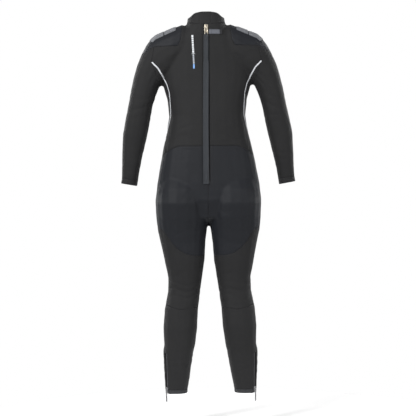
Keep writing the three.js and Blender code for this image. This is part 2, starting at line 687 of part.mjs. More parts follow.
// Ankle zips
const ankleTeethTop = -neopreneWall + ankleChainThickness;
const ankleSliderRise = 12;
const ankleLow = -ankleZipLength - ankleTail;
const ankleTapeLow = [-ankleTapeHalf, -ankleZipReach, ankleLow];
const ankleTapeBox = boxIn(ankleZip, ankleTapeLow, [ankleTapeHalf, ankleZipReach, -ankleZipStart]);
const gussetLow = [-gussetHalf, -ankleZipReach, ankleLow];
const gussetBox = boxIn(ankleZip, gussetLow, [gussetHalf, ankleZipReach, -ankleTail]);
const ankleTeethLow = [-ankleChainHalf, -neopreneWall, -ankleZipLength + zipStart];
const ankleTeeth = block(ankleTeethLow, [ankleChainHalf, ankleTeethTop, -ankleZipStart]);
const anklePark = -ankleZipLength + ankleSliderRise;
addPair("ankle_zip_tape", layer(tapeTop, tapeTop + zipTapeThickness).intersect(ankleTapeBox), tapeBlack);
addPair("ankle_gusset", layer(baffleTop, baffleTop + gussetThickness).intersect(gussetBox), black);
[false, true].forEach((mirrored) => {
  const side = mirrored ? "left" : "right";
  addPiece(`ankle_zip_teeth_${side}`, ankleTeeth, plasticBlack, ankleZip, mirrored);
  const slider = sliderGeometry(ankleChainHalf, ankleTeethTop);
  addPiece(`ankle_slider_${side}`, slider, pullMetal, placed(ankleZip, 0, 0, anklePark), mirrored);
  const puller = pullerGeometry(anklePullerLength, anklePullerHalf);
  const pivot = placed(ankleZip, 0, pivotAbove(ankleTeethTop), anklePark);
  addPiece(`ankle_puller_${side}`, puller, pullMetal, pivot, mirrored);
});

export default suit;
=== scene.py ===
import json
import math
from functools import partial

import bmesh
import bpy
import numpy as np
from mathutils import Matrix, Vector, noise
from mathutils.bvhtree import BVHTree
from mathutils.kdtree import KDTree


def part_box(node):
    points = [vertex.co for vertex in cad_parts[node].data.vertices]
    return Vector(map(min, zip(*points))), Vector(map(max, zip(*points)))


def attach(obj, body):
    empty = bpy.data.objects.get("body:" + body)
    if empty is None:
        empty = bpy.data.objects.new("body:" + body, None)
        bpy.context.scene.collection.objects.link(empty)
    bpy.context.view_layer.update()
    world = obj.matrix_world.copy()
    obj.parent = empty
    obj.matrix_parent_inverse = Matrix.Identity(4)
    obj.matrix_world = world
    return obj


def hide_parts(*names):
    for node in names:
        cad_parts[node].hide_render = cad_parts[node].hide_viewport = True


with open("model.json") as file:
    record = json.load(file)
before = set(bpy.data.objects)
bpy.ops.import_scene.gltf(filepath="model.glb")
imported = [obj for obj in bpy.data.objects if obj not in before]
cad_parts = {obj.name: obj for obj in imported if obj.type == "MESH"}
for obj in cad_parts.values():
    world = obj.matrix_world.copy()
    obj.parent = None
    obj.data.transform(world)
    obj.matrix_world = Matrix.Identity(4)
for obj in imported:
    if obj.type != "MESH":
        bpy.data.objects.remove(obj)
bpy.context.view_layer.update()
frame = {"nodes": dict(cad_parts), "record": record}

# A full-length diving wetsuit, standing as if worn.
# Metres. +Y is the wearer's front and +X the wearer's right hand.
sides = ("left", "right")
print("frame loaded:", len(frame["nodes"]), "CAD nodes")


# Camera, light and floor

cameraLook = {"distance": 5.0, "across": -0.002, "height": -0.673, "seen": 1.539, "lean": 0.77}


def makeCamera(values):
    data = bpy.data.cameras.new("camera")
    data.sensor_width = 36
    data.lens = data.sensor_width * values["distance"] / values["seen"]
    camera = bpy.data.objects.new("camera", data)
    bpy.context.scene.collection.objects.link(camera)
    camera.location = (values["across"], -values["distance"], values["height"])
    turn = Matrix.Rotation(math.radians(90), 4, "X")
    lean = Matrix.Rotation(math.radians(values["lean"]), 4, "Y")
    camera.rotation_euler = (lean @ turn).to_euler()
    bpy.context.scene.camera = camera


makeCamera(cameraLook)

lightValues = {
    "sky": 0.42, "backdrop": 1.0, "aim": (0, 0, -0.65),
    "key": {"place": (-2.4, -3.0, 1.5), "size": 1.3, "power": 190},
    "fill": {"place": (3.0, -2.6, 0.2), "size": 2.4, "power": 75},
    "rimLeft": {"place": (-2.6, 2.2, 0.6), "size": 1.6, "power": 70},
    "rimRight": {"place": (2.6, 2.2, 0.6), "size": 1.6, "power": 70},
}


def makeLights(values):
    world = bpy.data.worlds.new("studio")
    world.use_nodes = True
    tree = world.node_tree
    back = tree.nodes["Background"]
    back.inputs["Color"].default_value = (1, 1, 1, 1)
    seen = tree.nodes.new("ShaderNodeLightPath").outputs["Is Camera Ray"]
    spread = tree.nodes.new("ShaderNodeMapRange")
    spread.inputs["To Min"].default_value = values["sky"]
    spread.inputs["To Max"].default_value = values["backdrop"]
    tree.links.new(seen, spread.inputs["Value"])
    tree.links.new(spread.outputs["Result"], back.inputs["Strength"])
    bpy.context.scene.world = world
    aim = Vector(values["aim"])
    for name in ("key", "fill", "rimLeft", "rimRight"):
        data = bpy.data.lights.new(name, "AREA")
        data.size = values[name]["size"]
        data.energy = values[name]["power"]
        lamp = bpy.data.objects.new(name, data)
        bpy.context.scene.collection.objects.link(lamp)
        lamp.location = values[name]["place"]
        lamp.rotation_euler = (aim - lamp.location).to_track_quat("-Z", "Y").to_euler()


makeLights(lightValues)


def socketSet(node, **values):
    for name, value in values.items():
        node.inputs[name.replace("_", " ")].default_value = value


floorValues = {"radius": 0.95, "height": -1.47, "grey": 0.9}


def makeFloor(values):
    bpy.ops.mesh.primitive_circle_add(
        vertices=96, radius=values["radius"], fill_type="NGON", location=(0, 0, values["height"]),
    )
    floor = bpy.context.object
    floor.name = "floor"
    paint = bpy.data.materials.new("paleFloor")
    paint.use_nodes = True
    shader = paint.node_tree.nodes["Principled BSDF"]
    socketSet(shader, Base_Color=(*[values["grey"]] * 3, 1), Roughness=0.9)
    floor.data.materials.append(paint)


makeFloor(floorValues)
bpy.context.scene.view_settings.view_transform = "Standard"
print("camera, lights and floor made")


# Materials: shared groups first

def newGroup(name, inputs, outputs):
    # a group with its ends, the place on the object, and short forms of the sums it uses
    group = bpy.data.node_groups.new(name, "ShaderNodeTree")
    for label, start in inputs.items():
        socket = group.interface.new_socket(label, in_out="INPUT", socket_type="NodeSocketFloat")
        socket.default_value = start
    for label in outputs:
        group.interface.new_socket(label, in_out="OUTPUT", socket_type="NodeSocketFloat")
    start, end = group.nodes.new("NodeGroupInput"), group.nodes.new("NodeGroupOutput")
    place = group.nodes.new("ShaderNodeTexCoord").outputs["Object"]
    add, times, wave = (partial(mathNode, group, kind) for kind in ("ADD", "MULTIPLY", "SINE"))
    return group, start.outputs, end.inputs, place, add, times, wave


def mathNode(tree, operation, first, second):
    node = tree.nodes.new("ShaderNodeMath")
    node.operation = operation
    for index, value in enumerate((first, second)):
        if isinstance(value, (int, float)):
            node.inputs[index].default_value = value
        else:
            tree.links.new(value, node.inputs[index])
    return node.outputs[0]


def noiseNode(tree, vector, scale, detail=3.0, roughness=0.55):
    node = tree.nodes.new("ShaderNodeTexNoise")
    socketSet(node, Scale=scale, Detail=detail, Roughness=roughness)
    tree.links.new(vector, node.inputs["Vector"])
    return node.outputs["Fac"]


def splitPlace(group, place):
    # across the suit and up it
    split = group.nodes.new("ShaderNodeSeparateXYZ")
    group.links.new(place, split.inputs[0])
    return mathNode(group, "ADD", split.outputs["X"], split.outputs["Y"]), split.outputs["Z"]


# Jersey: fine knit ribs with small loops, and a slow uneven shade from handling
def makeJerseyGroup():
    inputs, outputs = {"Pitch": 900.0, "Mottle": 0.2}, ("Height", "Shade", "Lint")
    group, given, out, place, add, times, wave = newGroup("jerseyKnit", inputs, outputs)
    across, up = splitPlace(group, place)
    ribs = wave(times(across, given["Pitch"]), 0)
    wobble = times(noiseNode(group, place, 45.0), 9.0)
    loops = wave(add(times(up, given["Pitch"]), wobble), 0)
    knit = add(times(ribs, 0.3), times(loops, 0.2))
    grain = noiseNode(group, place, 700.0, 2.0)
    group.links.new(add(knit, times(grain, 0.9)), out["Height"])
    slow = mathNode(group, "SUBTRACT", noiseNode(group, place, 7.0, 4.0), 0.5)
    group.links.new(add(times(slow, given["Mottle"]), 1.0), out["Shade"])
    specks = noiseNode(group, place, 260.0, 1.0)
    group.links.new(mathNode(group, "GREATER_THAN", specks, 0.77), out["Lint"])
    return group


# Weave: two crossing sets of threads for tapes and webbing
def makeWeaveGroup():
    inputs, outputs = {"Pitch": 2500.0}, ("Height", "Shade")
    group, given, out, place, add, times, wave = newGroup("tapeWeave", inputs, outputs)
    across, up = splitPlace(group, place)
    cross = times(wave(times(across, given["Pitch"]), 0), wave(times(up, given["Pitch"]), 0))
    fuzz = noiseNode(group, place, 500.0, 2.0)
    group.links.new(add(times(cross, 0.5), fuzz), out["Height"])
    group.links.new(add(times(cross, 0.12), add(fuzz, 0.5)), out["Shade"])
    return group


# Wear: paler, rougher spots where a hard piece is rubbed
def makeWearGroup():
    inputs, outputs = {"Scale": 300.0, "Amount": 0.5}, ("Mask", "Height")
    group, given, out, place, add, times = newGroup("handlingWear", inputs, outputs)[:6]
    edge = group.nodes.new("ShaderNodeNewGeometry").outputs["Pointiness"]
    raised = times(mathNode(group, "SUBTRACT", edge, 0.5), 6.0)
    spots = group.nodes.new("ShaderNodeTexNoise")
    group.links.new(place, spots.inputs["Vector"])
    group.links.new(given["Scale"], spots.inputs["Scale"])
    mask = group.nodes.new("ShaderNodeClamp")
    group.links.new(add(raised, times(spots.outputs["Fac"], given["Amount"])), mask.inputs["Value"])
    group.links.new(mask.outputs[0], out["Mask"])
    group.links.new(spots.outputs["Fac"], out["Height"])
    return group


jerseyGroup = makeJerseyGroup()
weaveGroup = makeWeaveGroup()
wearGroup = makeWearGroup()


def startMaterial(name, colour, **values):
    paint = bpy.data.materials.new(name)
    paint.use_nodes = True
    shader = paint.node_tree.nodes["Principled BSDF"]
    socketSet(shader, Base_Color=(*colour, 1), **values)
    return paint, paint.node_tree, shader


def addGroup(tree, group, **values):
    node = tree.nodes.new("ShaderNodeGroup")
    node.node_tree = group
    socketSet(node, **values)
    return node


def mixColours(tree, factor, first, second):
    # each colour is three numbers or a socket
    node = tree.nodes.new("ShaderNodeMix")
    node.data_type = "RGBA"
    tree.links.new(factor, node.inputs["Factor"])
    for index, colour in ((6, first), (7, second)):
        if isinstance(colour, bpy.types.NodeSocket):
            tree.links.new(colour, node.inputs[index])
        else:
            node.inputs[index].default_value = (*colour, 1)
    return node.outputs[2]


def shaded(colour, share):
    return [channel * share for channel in colour]


def addBump(tree, shader, height, strength, distance):
    bump = tree.nodes.new("ShaderNodeBump")
    bump.inputs["Strength"].default_value = strength
    bump.inputs["Distance"].default_value = distance
    tree.links.new(height, bump.inputs["Height"])
    tree.links.new(bump.outputs["Normal"], shader.inputs["Normal"])


def fabricMaterial(name, values):
    dark = values["colour"]
    paint, tree, shader = startMaterial(name, dark, Roughness=values["roughness"])
    socketSet(shader, Sheen_Weight=values["sheen"], Sheen_Roughness=0.45, Specular_IOR_Level=0.25)
    shader.inputs["Sheen Tint"].default_value = (*values["sheenTint"], 1)
    knit = addGroup(tree, jerseyGroup, Pitch=values["pitch"], Mottle=values["mottle"])
    spread = tree.nodes.new("ShaderNodeMapRange")
    socketSet(spread, From_Min=0.8, From_Max=1.2)
    tree.links.new(knit.outputs["Shade"], spread.inputs["Value"])
    shade = mixColours(tree, spread.outputs[0], shaded(dark, 0.82), shaded(dark, 1.2))
    lint = mathNode(tree, "MULTIPLY", knit.outputs["Lint"], 0.25)
    flecked = mixColours(tree, lint, shade, shaded(dark, 2.4))
    tree.links.new(flecked, shader.inputs["Base Color"])
    addBump(tree, shader, knit.outputs["Height"], values["bump"], 0.0004)
    return paint


fabrics = {
    "charcoal": {
        "colour": (0.0108, 0.0108, 0.0114), "roughness": 0.74, "sheen": 0.03,
        "sheenTint": (0.6, 0.6, 0.62), "pitch": 4200.0, "mottle": 0.45, "bump": 0.55,
    },
    "blueBlack": {
        "colour": (0.0066, 0.0076, 0.0104), "roughness": 0.64, "sheen": 0.04,
        "sheenTint": (0.55, 0.6, 0.7), "pitch": 5200.0, "mottle": 0.4, "bump": 0.4,
    },
}
charcoal = fabricMaterial("charcoalJersey", fabrics["charcoal"])
blueBlack = fabricMaterial("blueBlackJersey", fabrics["blueBlack"])


def tapeMaterial(name, colour, roughness, pitch, depth=0.0003):
    paint, tree, shader = startMaterial(name, colour, Roughness=roughness, Specular_IOR_Level=0.35)
    weave = addGroup(tree, weaveGroup, Pitch=pitch)
    mixed = mixColours(tree, weave.outputs["Shade"], shaded(colour, 0.7), shaded(colour, 1.3))
    tree.links.new(mixed, shader.inputs["Base Color"])
    addBump(tree, shader, weave.outputs["Height"], 0.6, depth)
    return paint


zipTape = tapeMaterial("blackZipTape", (0.012, 0.012, 0.014), 0.7, 5200.0)
hemTape = tapeMaterial("blackHemBand", (0.02, 0.021, 0.023), 0.75, 4200.0)
leashWebbing = tapeMaterial("greyWebbing", (0.016, 0.0185, 0.0225), 0.66, 3100.0, 0.0005)
pipingTape = tapeMaterial("paleGreyPiping", (0.42, 0.43, 0.45), 0.55, 4600.0)
hookLoop = tapeMaterial("greyHookLoop", (0.085, 0.09, 0.105), 0.9, 2600.0, 0.0008)
seamThread = tapeMaterial("blackThread", (0.018, 0.018, 0.02), 0.6, 6000.0)


def hardMaterial(name, colour, worn, roughness=0.5, metallic=0.0, amount=0.3):
    paint, tree, shader = startMaterial(name, colour, Roughness=roughness, Metallic=metallic)
    wear = addGroup(tree, wearGroup, Scale=420.0, Amount=amount)
    mask = wear.outputs["Mask"]
    tree.links.new(mixColours(tree, mask, colour, worn), shader.inputs["Base Color"])
    rough = mathNode(tree, "ADD", mathNode(tree, "MULTIPLY", mask, 0.15), roughness)
    tree.links.new(rough, shader.inputs["Roughness"])
    addBump(tree, shader, wear.outputs["Height"], 0.12, 0.0003)
    return paint


zipPlastic = hardMaterial(
    "mouldedTeeth", (0.012, 0.012, 0.014), (0.05, 0.05, 0.055), 0.42, amount=0.25,
)
pullMetal = hardMaterial("paleBronze", (0.36, 0.31, 0.24), (0.62, 0.58, 0.5), 0.34, 1.0, 0.4)
ankleMetal = hardMaterial("greyAlloy", (0.2, 0.2, 0.21), (0.45, 0.45, 0.46), 0.38, 1.0, 0.4)
gripPrint = hardMaterial("greyGripPrint", (0.1, 0.104, 0.114), (0.17, 0.175, 0.19), amount=0.35)
whitePrint = hardMaterial("whiteTransfer", (0.66, 0.68, 0.7), (0.5, 0.52, 0.54))
bluePrint = hardMaterial("blueTransfer", (0.1, 0.26, 0.62), (0.2, 0.36, 0.66))
greyPrint = hardMaterial("greyTransfer", (0.4, 0.42, 0.46), (0.3, 0.32, 0.35))
print("materials made")


# Mesh helpers

def meshObject(name, points, faces, paint=None):
    data = bpy.data.meshes.new(name)
    data.from_pydata([tuple(p) for p in points], [], [tuple(int(i) for i in f) for f in faces])
    data.validate()
    made = bpy.data.objects.new(name, data)
    bpy.context.scene.collection.objects.link(made)
    if paint:
        data.materials.append(paint)
    return made


def onlyActive(piece):
    bpy.ops.object.select_all(action="DESELECT")
    bpy.context.view_layer.objects.active = piece
    piece.select_set(True)


def applyModifier(piece, kind, **values):
    onlyActive(piece)
    modifier = piece.modifiers.new(kind, kind)
    for name, value in values.items():
        setattr(modifier, name, value)
    bpy.ops.object.modifier_apply(modifier=modifier.name)


def smoothShading(piece, angle=60):
    onlyActive(piece)
    bpy.ops.object.shade_smooth_by_angle(angle=math.radians(angle))


def nodePoints(name):
    return np.array([v.co for v in frame["nodes"][name].data.vertices], float)


def nodeTree(name):
    data = frame["nodes"][name].data
    return BVHTree.FromPolygons([v.co for v in data.vertices], [p.vertices for p in data.polygons])


# The worn form: one closed outer surface over all the panels, openings plugged past their rims

formValues = {
    "voxel": 0.0037, "coarse": 0.0075, "core": 0.0029, "rounds": 60, "quickRounds": 26,
    "stub": 0.016, "cuffLean": 0.17,
}
splitPanels = [
    "back_panel", "shoulder_panel", "side_panel", "sleeve", "cuff", "seat_panel", "front_hip_panel",
    "thigh_back_panel", "thigh_front_panel", "calf_panel", "shin_panel", "ankle_hem",
]
panelNames = [f"{name}_{side}" for name in splitPanels for side in sides]
panelNames += ["chest_panel", "collar_band", "collar_flap"]


def hullOf(points):
    form = bmesh.new()
    for point in points:
        form.verts.new(point)
    bmesh.ops.convex_hull(form, input=form.verts)
    loose = [v for v in form.verts if not v.link_faces]
    bmesh.ops.delete(form, geom=loose, context="VERTS")
    data = bpy.data.meshes.new("hull")
    form.to_mesh(data)
    form.free()
    return data


def unitRows(rows):
    return rows / np.maximum(np.linalg.norm(rows, axis=1, keepdims=True), 1e-12)


def zipAxes(teeth, outward):
    # middle and half length of a straight bar of teeth, and its directions across, out and up
    points = np.unique(np.round(nodePoints(teeth), 6), axis=0)
    middle = points.mean(0)
    top = points[points[:, 2] > middle[2]].mean(0)
    half = np.linalg.norm(top - middle)
    up = (top - middle) / half
    flat = points - middle - np.outer((points - middle) @ up, up)
    out = np.cross(up, np.linalg.eigh(flat.T @ flat)[1][:, 2])
    if np.dot(out, outward) < 0:
        out = -out
    return {"middle": middle, "across": np.cross(out, up), "out": out, "up": up, "half": half}


backZip = zipAxes("zip_teeth", (0, -1, 0))
ankleZips = {
    "right": zipAxes("ankle_zip_teeth_right", (1, -0.6, 0)),
    "left": zipAxes("ankle_zip_teeth_left", (-1, -0.6, 0)),
}


def plugOf(axes, half, low, high, past):
    # a block that fills a zip's slot: half width, depth from low to high, reach past its two ends
    corners = [
        axes["middle"] + x * axes["across"] + y * axes["out"] + z * axes["up"]
        for x in (-half, half) for y in (low, high)
        for z in (-axes["half"] - past[0], axes["half"] + past[1])
    ]
    return hullOf(corners)


def formParts():
    parts = [frame["nodes"][name].data.copy() for name in panelNames]
    stub = formValues["stub"]
    for side, hand in (("left", -1), ("right", 1)):
        hem = nodePoints(f"ankle_hem_{side}")
        parts.append(hullOf(np.vstack([hem, hem - (0, 0, stub)])))
        cuff = nodePoints(f"cuff_{side}")
        lean = formValues["cuffLean"] * stub * hand
        parts.append(hullOf(np.vstack([cuff, cuff + (lean, 0, -stub)])))
        parts.append(plugOf(ankleZips[side], 0.0064, -0.0014, 0.0019, (0.001, 0)))
    band = nodePoints("collar_band")
    rim = band[band[:, 2] > 0.024] + (0, 0.003, 0.022)
    parts.append(hullOf(np.vstack([band[band[:, 2] > 0.012], rim])))
    parts.append(plugOf(backZip, 0.0085, -0.0017, 0.0027, (0.008, 0.001)))
    return parts


def outerForm(voxel, core=None):
    # core: points and faces of a closed shape that fills the inside, so only the outer skin is left
    form = bmesh.new()
    for part in formParts():
        form.from_mesh(part)
        bpy.data.meshes.remove(part)
    if core:
        filler = meshObject("core", *core)
        form.from_mesh(filler.data)
        bpy.data.objects.remove(filler)
    worn = meshObject("wornForm", [], [])
    form.to_mesh(worn.data)
    form.free()
    applyModifier(worn, "REMESH", mode="VOXEL", voxel_size=voxel, adaptivity=0.0)
    applyModifier(worn, "TRIANGULATE")
    points = np.array([v.co for v in worn.data.vertices], float)
    faces = np.array([p.vertices for p in worn.data.polygons], int)
    bpy.data.objects.remove(worn)
    return largestShell(points, faces)


def edgesOf(faces):
    return np.vstack([faces[:, [0, 1]], faces[:, [1, 2]], faces[:, [2, 0]]])


def largestShell(points, faces):
    # labels spread along edges until every connected shell has one number
    label = np.arange(len(points))
    edges = edgesOf(faces)
    while True:
        low = np.minimum(label[edges[:, 0]], label[edges[:, 1]])
        after = label.copy()
        np.minimum.at(after, edges[:, 0], low)
        np.minimum.at(after, edges[:, 1], low)
        after = after[after]
        if np.array_equal(after, label):
            break
        label = after
    best, size = 0, 0.0
    for value in np.unique(label):
        inside = points[label == value]
        spread = np.prod(inside.max(0) - inside.min(0))
        if spread > size:
            best, size = value, spread
    keep = label == best
    index = np.cumsum(keep) - 1
    chosen = faces[keep[faces[:, 0]]]
    return points[keep], index[chosen]


def vertexNormals(points, faces):
    a, b, c = (points[faces[:, k]] for k in range(3))
    flat = np.cross(b - a, c - a)
    total = np.zeros_like(points)
    for k in range(3):
        for axis in range(3):
            total[:, axis] += np.bincount(faces[:, k], weights=flat[:, axis], minlength=len(points))
    return unitRows(total)


def relax(points, faces, rounds, inward=0.5, outward=-0.53):
    # smoothing that keeps the size: a step in, then a slightly longer step out
    start, end = edgesOf(faces).T
    degree = np.bincount(start, minlength=len(points))[:, None]
    for index in range(rounds * 2):
        mean = np.empty_like(points)
        for axis in range(3):
            mean[:, axis] = np.bincount(start, weights=points[end, axis], minlength=len(points))
        points = points + (outward if index % 2 else inward) * (mean / degree - points)
    return points


points, faces = outerForm(formValues["coarse"])
coarse = relax(points, faces, 3)
coarse -= vertexNormals(coarse, faces) * formValues["core"]
points, faces = outerForm(formValues["voxel"], (coarse, faces))
print("worn form:", len(points), "points")
points = relax(points, faces, formValues["rounds"])


# Soft folds where the suit bends or is full, none beside the zips

foldValues = {
    # middle, reach, direction across the folds, how far apart they lie, depth
    "elbow": ((0.232, -0.01, -0.30), 0.085, (0.25, 0.1, 1.0), 0.030, 0.0022),
    "underarm": ((0.185, -0.02, -0.20), 0.07, (0.8, 0.1, 0.6), 0.027, 0.0024),
    "forearm": ((0.272, 0.0, -0.50), 0.075, (0.3, 0.1, 1.0), 0.026, 0.0012),
    "waist": ((0.085, -0.05, -0.42), 0.10, (0.15, 0.0, 1.0), 0.036, 0.0018),
    "kneeBack": ((0.09, -0.05, -0.97), 0.10, (0.1, 0.0, 1.0), 0.031, 0.0024),
    "thigh": ((0.10, -0.05, -0.76), 0.09, (0.5, 0.0, 1.0), 0.038, 0.0020),
    "ankle": ((0.125, 0.0, -1.25), 0.11, (0.2, 0.1, 1.0), 0.027, 0.0014),
    "kneeFront": ((0.09, 0.05, -0.95), 0.09, (0.0, 0.0, 1.0), 0.034, 0.0010),
    "seat": ((0.06, -0.09, -0.66), 0.09, (0.7, 0.0, 0.8), 0.045, 0.0014),
}
bodyValues = {"drift": 0.0017, "driftSize": 0.11, "ripple": 0.0006, "rippleSize": 0.028}


def noiseAt(places, size, seed):
    shift = Vector((seed, seed * 0.7, -seed))
    return np.array([noise.noise(Vector(p) / size + shift) for p in places])


calmValues = {
    "beside": 0.022, "fade": 0.03, "back": -0.02, "zipEnd": -0.62, "collar": 0.01, "least": 0.25,
    "ankleHalf": 0.012, "ankleDeep": 0.02, "ankleFade": 0.018,
}


def calmNear(places, values):
    # 0 beside a zip, low on the collar, 1 elsewhere
    calm = np.clip((np.abs(places[:, 0]) - values["beside"]) / values["fade"], 0, 1)
    calm[(places[:, 1] > values["back"]) | (places[:, 2] < values["zipEnd"])] = 1
    for axes in ankleZips.values():
        away = places - axes["middle"]
        sideways = np.abs(away @ axes["across"]) - values["ankleHalf"]
        beyond = np.abs(away @ axes["up"]) - axes["half"]
        depth = np.abs(away @ axes["out"]) - values["ankleDeep"]
        distance = np.max((sideways, beyond, depth), axis=0)
        calm = np.minimum(calm, np.clip(distance / values["ankleFade"], 0, 1))
    collar = np.clip((values["collar"] - places[:, 2]) / values["fade"], 0, 1)
    return calm * (values["least"] + (1 - values["least"]) * collar)


def foldDepth(places):
    depth = bodyValues["drift"] * noiseAt(places, bodyValues["driftSize"], 3.1)
    depth += bodyValues["ripple"] * noiseAt(places, bodyValues["rippleSize"], 8.4)
    for index, (at, reach, across, gap, deep) in enumerate(foldValues.values()):
        for sign in (1, -1):
            along = Vector(across)
            along.x *= sign
            along.normalize()
            away = places - np.array(at) * (sign, 1, 1)
            near = np.linalg.norm(away, axis=1) < reach
            spot = places[near]
            fade = 1 - (np.linalg.norm(away[near], axis=1) / reach) ** 2
            bend = noiseAt(spot, 0.06, index * 2.7 + sign)
            phase = (away[near] @ np.array(along)) / gap + 0.9 * bend
            patch = 0.5 + 0.5 * noiseAt(spot, 0.045, index + 17.0 * sign)
            crest = 1 - np.abs(np.sin(np.pi * phase)) ** 0.7
            depth[near] -= deep * fade * patch * (crest * 1.6 - 0.4)
    return depth


normals = vertexNormals(points, faces)
points = points + normals * (foldDepth(points) * calmNear(points, calmValues))[:, None]
points = relax(points, faces, 2)
normals = vertexNormals(points, faces)
print("folds made")


# Every point gets the panel it belongs to, and triangles are cut where two panels meet

def rimHeight(x, y):
    # top edge of the collar, from the CAD band: high at the back, level round the sides and front
    band = nodePoints("collar_band")
    low = band[band[:, 1] > -0.01][:, 2].max()
    top = band[:, 2].max()
    middle = np.interp(np.abs(x), (0.018, 0.042, 0.061), (top, top - 0.004, low))
    return np.where(y > -0.02, low, middle)


def named(rows, name):
    return next(row for row in rows if row["name"] == name)


hemReach = {"ankle_hem_right_edge": 0.11, "wrist_hem_right_edge": 0.075}


slotValues = {"backHalf": 0.008, "backPast": 0.0075, "ankleHalf": 0.006, "anklePast": 0.05}


def slotDistance(places, axes, half, past):
    # past: how far the slot runs on below the teeth
    away = places - axes["middle"]
    along = away @ axes["up"]
    sideways = np.abs(away @ axes["across"]) - half
    deep = np.abs(away @ axes["out"]) - 0.03
    above, below = along - axes["half"] - 0.001, -axes["half"] - past - along
    return np.maximum(np.max((sideways, deep, above, below), axis=0), 0)


def openDistance(places):
    # distance to the open air past a rim, or to a zip's slot
    gaps = [slotDistance(places, backZip, slotValues["backHalf"], slotValues["backPast"])]
    for axes in ankleZips.values():
        gaps.append(slotDistance(places, axes, slotValues["ankleHalf"], slotValues["anklePast"]))
    gaps.append(np.where(places[:, 2] > 0, rimHeight(places[:, 0], places[:, 1]) - places[:, 2], 1))
    for name, reach in hemReach.items():
        mount = named(frame["record"]["mounts"], name)
        for sign in (1, -1):
            away = places - np.array(mount["pos_m"]) * (sign, 1, 1)
            close = np.linalg.norm(away, axis=1) < reach
            axis = np.array(mount["axis"]) * (sign, 1, 1)
            gaps.append(np.where(close, -(away @ axis), 1))
    return np.maximum(np.min(gaps, axis=0), 0)


def nearNode(name, places, margin):
    # the node's tree, and which of the places lie in its box
    corners = nodePoints(name)
    low, high = corners.min(0) - margin, corners.max(0) + margin
    return nodeTree(name), np.flatnonzero(((places > low) & (places < high)).all(1))


def skinAway(hit, place, slope):
    # distance along the skin, and distance off it
    away = hit - place
    off = away.dot(slope)
    return (away - slope * off).length, off


def labelDistances(places, slopes, far=0.03, offShare=0.3):
    table = np.full((len(places), len(panelNames) + 1), far)
    table[:, -1] = openDistance(places)
    for column, name in enumerate(panelNames):
        tree, near = nearNode(name, places, 0.012)
        for index in near:
            place = Vector(places[index])
            hit = tree.find_nearest(place, far)[0]
            if hit is not None:
                # distance along the skin counts in full, distance off it only in part
                along, off = skinAway(hit, place, Vector(slopes[index]))
                table[index, column] = math.hypot(along, offShare * off)
    return table


table = labelDistances(points, normals)
owner = table.argmin(1)
print("points labelled")


class Cutter:
    # cuts triangles along the lines where the nearest label changes
    def __init__(self, places, slopes, triangles, values, labels):
        self.places = [tuple(p) for p in places]
        self.slopes = [tuple(n) for n in slopes]
        self.values = values
        self.labels = labels
        self.cuts = {}
        self.pieces = {}
        self.seams = {}
        self.split(triangles)

    def arrays(self):
        return np.array(self.places), unitRows(np.array(self.slopes))

    def addPoint(self, place, slope):
        self.places.append(tuple(place))
        self.slopes.append(tuple(slope))
        return len(self.places) - 1

    def cutPoint(self, first, second):
        key = (min(first, second), max(first, second))
        if key not in self.cuts:
            low, high = key
            a, b = self.labels[low], self.labels[high]
            before = self.values[low, a] - self.values[low, b]
            after = self.values[high, a] - self.values[high, b]
            share = min(max(before / (before - after) if before != after else 0.5, 0.04), 0.96)
            ends = ((Vector(rows[low]), Vector(rows[high])) for rows in (self.places, self.slopes))
            self.cuts[key] = self.addPoint(*(start.lerp(end, share) for start, end in ends))
        return self.cuts[key]

    def give(self, label, *corners):
        self.pieces.setdefault(label, []).append(corners)

    def seam(self, a, b, start, end):
        self.seams.setdefault((min(a, b), max(a, b)), []).append((start, end))

    def split(self, triangles):
        kinds = self.labels[triangles]
        whole = (kinds[:, 0] == kinds[:, 1]) & (kinds[:, 1] == kinds[:, 2])
        for label in np.unique(kinds[whole][:, 0]):
            chosen = triangles[whole & (kinds[:, 0] == label)]
            self.pieces[label] = [tuple(row) for row in chosen.tolist()]
        for corners in triangles[~whole].tolist():
            a, b, c = (self.labels[k] for k in corners)
            if a != b and b != c and c != a:
                self.splitThree(corners)
                continue
            while self.labels[corners[1]] != self.labels[corners[2]]:
                corners = corners[1:] + corners[:1]
            self.splitTwo(corners)

    def splitTwo(self, corners):
        lone, second, third = corners
        first = self.cutPoint(lone, second)
        last = self.cutPoint(third, lone)
        self.give(self.labels[lone], lone, first, last)
        self.give(self.labels[second], first, second, third)
        self.give(self.labels[second], first, third, last)
        self.seam(self.labels[lone], self.labels[second], first, last)

    def splitThree(self, corners):
        mids = [self.cutPoint(corners[k], corners[(k + 1) % 3]) for k in range(3)]
        rows = (self.places, self.slopes)
        sums = (sum((Vector(row[k]) for k in mids), Vector()) for row in rows)
        centre = self.addPoint(*(total / 3 for total in sums))
        for k, corner in enumerate(corners):
            label = self.labels[corner]
            self.give(label, corner, mids[k], centre)
            self.give(label, corner, centre, mids[k - 1])
            self.seam(label, self.labels[corners[(k + 1) % 3]], mids[k], centre)


cutter = Cutter(points, normals, faces, table, owner)
allPlaces, allSlopes = cutter.arrays()
print("panels cut:", [len(cutter.pieces.get(label, [])) for label in range(len(panelNames))])


# Seams: a shallow groove where panels are glued edge to edge

seamValues = {"groove": 0.0011, "grooveWidth": 0.0042, "wall": 0.0042, "flapWall": 0.0026}


def grooveDepth():
    seamPoints = {k for pairs in cutter.seams.values() for pair in pairs for k in pair}
    tree = KDTree(len(seamPoints))
    for index in sorted(seamPoints):
        tree.insert(Vector(allPlaces[index]), index)
    tree.balance()
    width = seamValues["grooveWidth"]
    away = np.array([tree.find(Vector(place))[2] for place in allPlaces])
    return seamValues["groove"] * np.clip(1 - away / width, 0, 1) ** 2


shaped = allPlaces - allSlopes * grooveDepth()[:, None]
print("seam grooves made")


